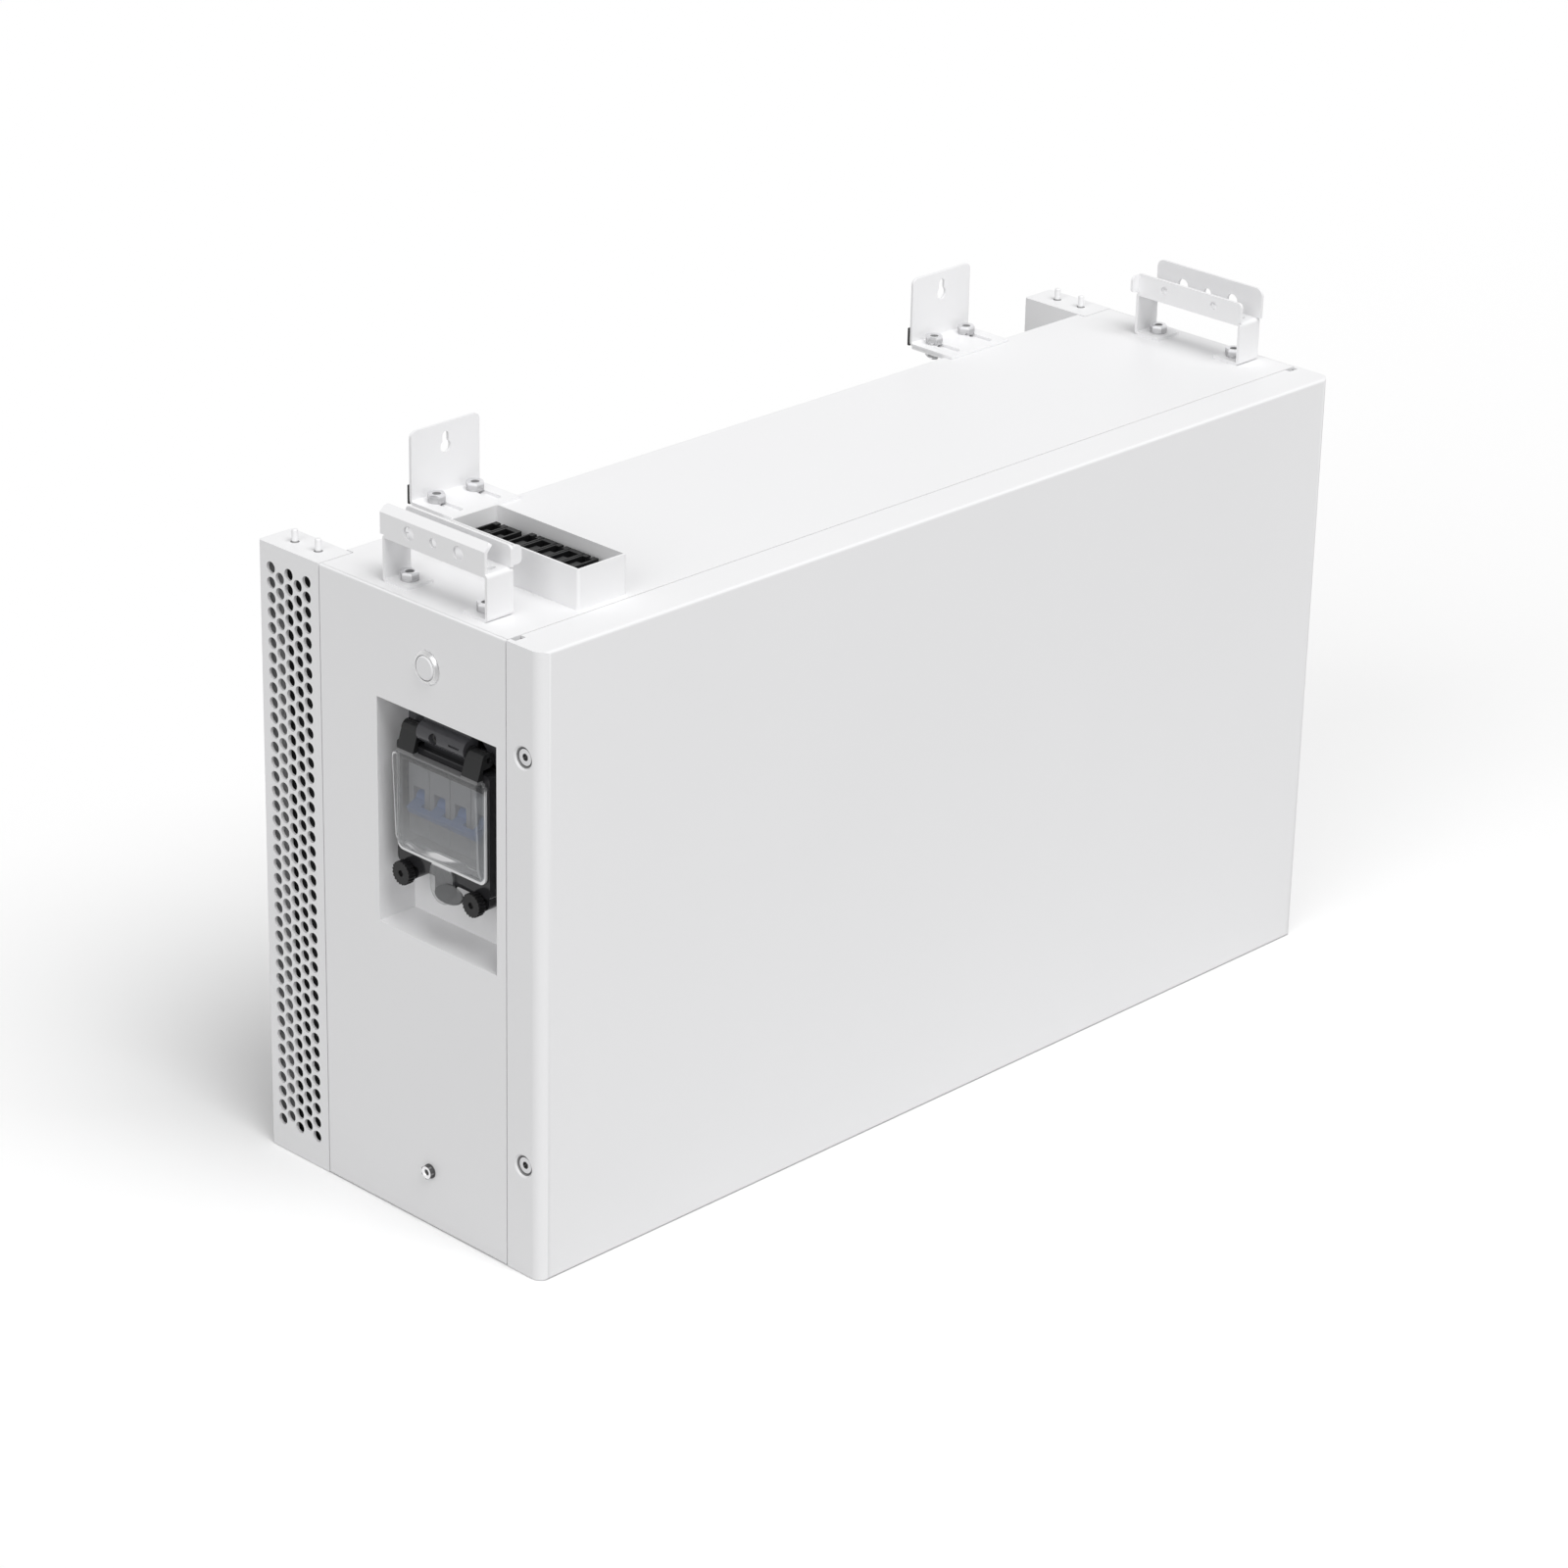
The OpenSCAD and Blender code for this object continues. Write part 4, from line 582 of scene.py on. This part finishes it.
def make_materials():
    """Makes the material of each slot once, under the slot's name."""
    sheet = bpy.context.scene.battery_sheet
    parts = bpy.context.scene.battery_hardware
    MATERIALS.update(
        powder_coat=painted("powder_coat", sheet.colour, sheet.roughness, 0.012 * MM),
        zinc_steel=screw_metal("zinc_steel", parts.zinc, 0.3),
        bezel_metal=plated("bezel_metal", (0.8, 0.8, 0.81), 0.28, (6, 1, 1)),
        cap_plastic=moulded("cap_plastic", (0.82, 0.82, 0.83), 0.35, 0.002 * MM, 0.04),
        black_plastic=moulded("black_plastic", parts.black, 0.4, 0.02 * MM),
        smoke_plastic=moulded("smoke_plastic", parts.smoke, 0.12, 0.002 * MM, bar=3.2),
        clear_plastic=clear("clear_plastic", parts.window),
        breaker_grey=moulded("breaker_grey", parts.breaker, 0.5, 0.01 * MM),
        toggle_blue=moulded("toggle_blue", parts.toggle, 0.35, 0.005 * MM),
        rubber_pad=moulded("rubber_pad", (0.02, 0.02, 0.02), 0.75, 0.04 * MM),
        # The vent filters are dark foam, and their near-black also stands in for the shade inside the vent
        # channels
        filter_foam=moulded("filter_foam", (0.015, 0.015, 0.016), 0.95, 0.2 * MM),
        cell_wrap=moulded("cell_wrap", (0.05, 0.16, 0.4), 0.3, 0.005 * MM),
        plain_aluminium=plated("plain_aluminium", (0.72, 0.73, 0.74), 0.38, (1, 8, 1)),
        copper=plated("copper", (0.72, 0.38, 0.22), 0.35, (6, 1, 1)),
        insulator=moulded("insulator", (0.75, 0.72, 0.6), 0.6, 0.02 * MM),
        board_green=moulded("board_green", (0.03, 0.2, 0.09), 0.35, 0.01 * MM),
    )


# Modelling helpers


def deselect():
    """Leaves edit mode and drops every selection."""
    if bpy.context.object and bpy.context.object.mode != "OBJECT":
        bpy.ops.object.mode_set(mode="OBJECT")
    bpy.ops.object.select_all(action="DESELECT")


def activate(obj):
    """Selects one object alone, for the tools that work on the active one."""
    deselect()
    obj.select_set(True)
    bpy.context.view_layer.objects.active = obj


def clean(obj):
    """Merges loose triangles into one skin of flat faces."""
    activate(obj)
    bpy.ops.object.mode_set(mode="EDIT")
    bpy.ops.mesh.select_all(action="SELECT")
    bpy.ops.mesh.remove_doubles(threshold=SLIVER)
    bpy.ops.mesh.dissolve_limited(angle_limit=math.radians(FLAT_ANGLE))
    bpy.ops.object.mode_set(mode="OBJECT")


def round_edges(obj, width, segments=2):
    """Rounds every sharp edge and keeps flat faces flat."""
    activate(obj)
    bevel = obj.modifiers.new("Rounded edges", "BEVEL")
    bevel.width = width
    bevel.segments = segments
    bevel.limit_method = "ANGLE"
    bevel.angle_limit = math.radians(SHARP_ANGLE)
    bevel.use_clamp_overlap = True
    bpy.ops.object.modifier_apply(modifier=bevel.name)
    bpy.ops.object.shade_smooth_by_angle(angle=math.radians(SMOOTH_ANGLE))
    flat = obj.modifiers.new("Flat faces", "WEIGHTED_NORMAL")
    flat.weight = 100
    flat.keep_sharp = True
    bpy.ops.object.modifier_apply(modifier=flat.name)


def paint(obj, slot):
    """Gives the object the material of a slot."""
    for place in obj.material_slots:
        place.material = MATERIALS[slot]
    if not obj.material_slots:
        obj.data.materials.append(MATERIALS[slot])


def dress(obj, *nodes):
    """Puts a finished piece on the body of the nodes that it stands for."""
    node = nodes[0]
    if not obj.material_slots:
        paint(obj, SLOTS[node])
    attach(obj, frame["nodes"][node]["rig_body"])
    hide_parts(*nodes)


def softened(node, width, segments=2):
    """Stands for a frame node with a merged copy whose sharp edges are rounded."""
    obj = bpy.data.objects.new(node + "_finished", frame["nodes"][node].data.copy())
    bpy.context.scene.collection.objects.link(obj)
    obj.data.materials.clear()
    clean(obj)
    round_edges(obj, width, segments)
    dress(obj, node)
    return obj


def at(x, y, z):
    """A place given in millimetres from the breaker end, the cover's face and the floor."""
    return ((x - HALF_L) * MM, y * MM + CAD_LOW[1], z * MM)


def pick_faces(obj, test):
    """Enters edit mode with just the faces selected whose centre and normal pass the test."""
    activate(obj)
    bpy.ops.object.mode_set(mode="EDIT")
    bpy.ops.mesh.select_mode(type="FACE")
    bpy.ops.mesh.select_all(action="DESELECT")
    mesh = bmesh.from_edit_mesh(obj.data)
    for face in mesh.faces:
        face.select = test(face.calc_center_median(), face.normal)
    mesh.select_flush_mode()
    bmesh.update_edit_mesh(obj.data)


def settle(obj):
    """Puts the object's place, turn and scale into its mesh."""
    activate(obj)
    bpy.ops.object.transform_apply(location=True, rotation=True, scale=True)


def join(obj, *others):
    """Joins the others into the first object."""
    activate(obj)
    for other in others:
        other.select_set(True)
    bpy.ops.object.join()


def plain(*nodes):
    """Keeps the frame's own shapes and gives them their materials."""
    for node in nodes:
        paint(frame["nodes"][node], SLOTS[node])


# One operator for each piece or group of like pieces


class BATTERY_OT_case(bpy.types.Operator):
    """Finish the folded cover, the chassis, the end panels and the recess"""

    bl_idname = "battery.case"
    bl_label = "Folded case"

    def execute(self, context):
        edge = context.scene.battery_sheet.edge
        for node in ("front_cover", "chassis", "breaker_end_panel", "plain_end_panel"):
            softened(node, edge)
        softened("breaker_recess_tub", edge)
        return {"FINISHED"}


class BATTERY_OT_channels(bpy.types.Operator):
    """Finish the perforated standoff channels, their filters, rivets and pins"""

    bl_idname = "battery.channels"
    bl_label = "Vent channels"

    def execute(self, context):
        # The filters' near-black foam also stands in for the shade inside the channels
        plain("vent_channel_left", "vent_channel_right", "vent_filter_left", "vent_filter_right")
        softened("locating_pins", context.scene.battery_hardware.edge)
        plain("channel_rivets")
        return {"FINISHED"}


class BATTERY_OT_brackets(bpy.types.Operator):
    """Finish the wall brackets, their pads and the handle brackets"""

    bl_idname = "battery.brackets"
    bl_label = "Brackets"

    def execute(self, context):
        edge = context.scene.battery_sheet.edge
        for side in ("left", "right"):
            softened("wall_bracket_" + side, edge)
            softened("handle_bracket_" + side, edge)
        softened("wall_pads", edge)
        return {"FINISHED"}


class BATTERY_OT_fasteners(bpy.types.Operator):
    """Finish the bolts, washers, nuts and case screws"""

    bl_idname = "battery.fasteners"
    bl_label = "Fasteners"

    def execute(self, context):
        edge = context.scene.battery_hardware.edge
        for node in ("wall_bracket_bolts", "handle_bolts", "spring_washers", "cover_screws", "ground_screw"):
            softened(node, edge)
        plain("bracket_nuts", "cover_nuts")
        return {"FINISHED"}


class BATTERY_OT_terminals(bpy.types.Operator):
    """Finish the terminal box and its connectors"""

    bl_idname = "battery.terminals"
    bl_label = "Terminal box"

    def execute(self, context):
        softened("terminal_box", context.scene.battery_sheet.edge)
        softened("connector_base", context.scene.battery_hardware.edge)
        softened("connector_row", context.scene.battery_hardware.edge)
        return {"FINISHED"}


class BATTERY_OT_button(bpy.types.Operator):
    """Finish the push button"""

    bl_idname = "battery.button"
    bl_label = "Power button"

    def execute(self, context):
        softened("button_bezel", context.scene.battery_hardware.edge)
        softened("button_cap", context.scene.battery_hardware.edge)
        plain("button_switch", "button_nut")
        return {"FINISHED"}


class BATTERY_OT_breaker_frame(bpy.types.Operator):
    """Finish the breaker's frame, its screws, the window latch and the hinge pins"""

    bl_idname = "battery.breaker_frame"
    bl_label = "Breaker frame"

    def execute(self, context):
        edge = context.scene.battery_hardware.edge
        for node in ("breaker_frame", "frame_screw", "window_latch", "thumb_screws", "window_hinge_pins"):
            softened(node, edge)
        return {"FINISHED"}


class BATTERY_OT_window(bpy.types.Operator):
    """Finish the clear hinged window"""

    bl_idname = "battery.window"
    bl_label = "Clear window"

    def execute(self, context):
        window = softened("breaker_window", WINDOW_EDGE * MM, 3)
        deselect()
        bpy.ops.mesh.primitive_cylinder_add(
            vertices=48,
            radius=LIFT_R * MM,
            depth=LIFT_T * MM,
            location=at(*LIFT_PLACE),
            rotation=(0, math.radians(LIFT_TILT), 0),
        )
        lift = context.object
        lift.scale = (1, LIFT_STRETCH, 1)
        lift.name = "finger_lift"
        pick_faces(lift, lambda place, normal: normal.z > 0.9)
        bpy.ops.mesh.inset(thickness=LIFT_RIM * MM)
        bpy.ops.transform.translate(value=(0, 0, -LIFT_DISH * MM), orient_type="LOCAL")
        bpy.ops.object.mode_set(mode="OBJECT")
        settle(lift)
        round_edges(lift, LIFT_EDGE * MM, 3)
        paint(lift, "clear_plastic")
        join(window, lift)
        return {"FINISHED"}


class BATTERY_OT_breaker(bpy.types.Operator):
    """Finish the breaker and its toggles"""

    bl_idname = "battery.breaker"
    bl_label = "Breaker"

    def execute(self, context):
        softened("breaker_body", context.scene.battery_hardware.edge)
        softened("breaker_toggle", context.scene.battery_hardware.edge)
        plain("toggle_pivot_pin", "din_rail", "din_rail_brackets")
        return {"FINISHED"}


class BATTERY_OT_pack(bpy.types.Operator):
    """Finish the cells and electronics inside the case"""

    bl_idname = "battery.pack"
    bl_label = "Cell pack"

    def execute(self, context):
        plain("battery_cells", "cell_pads", "cell_end_plates", "pack_tie_rods", "pack_tray")
        plain("cell_busbars", "busbar_cover", "positive_link", "negative_link", "output_links")
        plain("management_plate", "management_board", "board_standoffs")
        return {"FINISHED"}


class BATTERY_OT_stage(bpy.types.Operator):
    """Set up the floor, the lamps and the camera"""

    bl_idname = "battery.stage"
    bl_label = "Stage"

    def execute(self, context):
        look = context.scene.battery_stage
        deselect()
        bpy.ops.mesh.primitive_plane_add(size=look.floor, location=(0, 0, -FLOOR_DROP))
        floor = context.object
        floor.name = "floor"
        floor.data.materials.append(floor_finish())
        key = broad_lamp("key_lamp", look.key, KEY_FROM)
        side = broad_lamp("side_lamp", look.side, SIDE_FROM)
        white_world(look.sky)
        photo_camera(look.lens)
        context.scene.view_settings.view_transform = "Standard"
        return {"FINISHED"}


def broad_lamp(name, strength, direction):
    """A distant lamp with a wide soft disc, shining from the direction given."""
    deselect()
    bpy.ops.object.light_add(type="SUN")
    lamp = bpy.context.object
    lamp.name = name
    lamp.data.energy = strength
    lamp.data.angle = math.radians(LAMP_DISC)
    lamp.rotation_mode = "QUATERNION"
    lamp.rotation_quaternion = Vector(direction).to_track_quat("Z", "Y")
    return lamp


def white_seen(finish):
    """1 where the camera, a mirror or a glass looks, and 0 for other rays."""
    tree = finish.tree
    path = tree.nodes.new("ShaderNodeLightPath")
    camera = Wire(finish, path.outputs["Is Camera Ray"])
    mirror = Wire(finish, path.outputs["Is Glossy Ray"])
    glass = Wire(finish, path.outputs["Is Transmission Ray"])
    return (camera + mirror + glass).at_most(1.0)


def floor_finish():
    """A floor that looks almost white but lights the module like a grey one."""
    finish = new_finish("pale_floor")
    seen = white_seen(finish)
    cloud = finish.noise(3.0)
    dull = finish.mix(cloud, (0.5, 0.5, 0.5, 1), (0.52, 0.52, 0.52, 1))
    colour = finish.mix(seen, dull, (0.97, 0.97, 0.97, 1))
    return finish.close(base_color=colour, roughness=1.0, specular_ior_level=0.0)


def white_world(strength):
    """A sky that looks white but lights the module only with the given strength."""
    world = bpy.data.worlds.new("soft_studio")
    bpy.context.scene.world = world
    finish = Finish(world)
    level = white_seen(finish) * (1 - strength) + strength
    sky = finish.node("ShaderNodeBackground", {}, {"Color": (1, 1, 1, 1), "Strength": level})
    finish.show(sky, "ShaderNodeOutputWorld")


def photo_camera(lens):
    """The camera as it was fitted to the photo's straight edges."""
    azimuth, elevation, roll = (math.radians(a) for a in CAMERA_TURN)
    back = Vector(
        (
            math.sin(azimuth) * math.cos(elevation),
            -math.cos(azimuth) * math.cos(elevation),
            math.sin(elevation),
        )
    )
    right = Vector((math.cos(azimuth), math.sin(azimuth), 0))
    up = back.cross(right)
    right, up = (
        right * math.cos(roll) + up * math.sin(roll),
        up * math.cos(roll) - right * math.sin(roll),
    )
    data = bpy.data.cameras.new("photo_camera")
    camera = bpy.data.objects.new("photo_camera", data)
    bpy.context.scene.collection.objects.link(camera)
    turn = Matrix((right, up, back)).transposed().to_4x4()
    camera.matrix_world = Matrix.Translation(CAMERA_PLACE) @ turn
    data.lens = lens
    data.sensor_width = FILM_WIDTH
    data.clip_start, data.clip_end = CAMERA_REACH
    bpy.context.scene.camera = camera


STEPS = (
    BATTERY_OT_case,
    BATTERY_OT_channels,
    BATTERY_OT_brackets,
    BATTERY_OT_fasteners,
    BATTERY_OT_terminals,
    BATTERY_OT_button,
    BATTERY_OT_breaker_frame,
    BATTERY_OT_window,
    BATTERY_OT_breaker,
    BATTERY_OT_pack,
    BATTERY_OT_stage,
)


class BATTERY_PT_panel(bpy.types.Panel):
    """Sizes, colours and steps of the battery module"""

    bl_idname = "BATTERY_PT_panel"
    bl_label = "Battery module"
    bl_space_type = "VIEW_3D"
    bl_region_type = "UI"
    bl_category = "Battery"

    def draw(self, context):
        for group in ("battery_sheet", "battery_hardware", "battery_stage"):
            box = self.layout.box()
            props = getattr(context.scene, group)
            for key in props.__annotations__:
                box.prop(props, key)
        for step in STEPS:
            self.layout.operator(step.bl_idname)


CLASSES = (BatterySheetProps, BatteryHardwareProps, BatteryStageProps, *STEPS, BATTERY_PT_panel)


def register():
    for made in CLASSES:
        bpy.utils.register_class(made)
    scene = bpy.types.Scene
    scene.battery_sheet = bpy.props.PointerProperty(type=BatterySheetProps)
    scene.battery_hardware = bpy.props.PointerProperty(type=BatteryHardwareProps)
    scene.battery_stage = bpy.props.PointerProperty(type=BatteryStageProps)


def unregister():
    for group in ("battery_stage", "battery_hardware", "battery_sheet"):
        delattr(bpy.types.Scene, group)
    for made in reversed(CLASSES):
        bpy.utils.unregister_class(made)


def main():
    """Builds the finished module step by step."""
    register()
    make_materials()
    for step in STEPS:
        family, name = step.bl_idname.split(".")
        getattr(getattr(bpy.ops, family), name)()


if __name__ == "__main__":
    main()
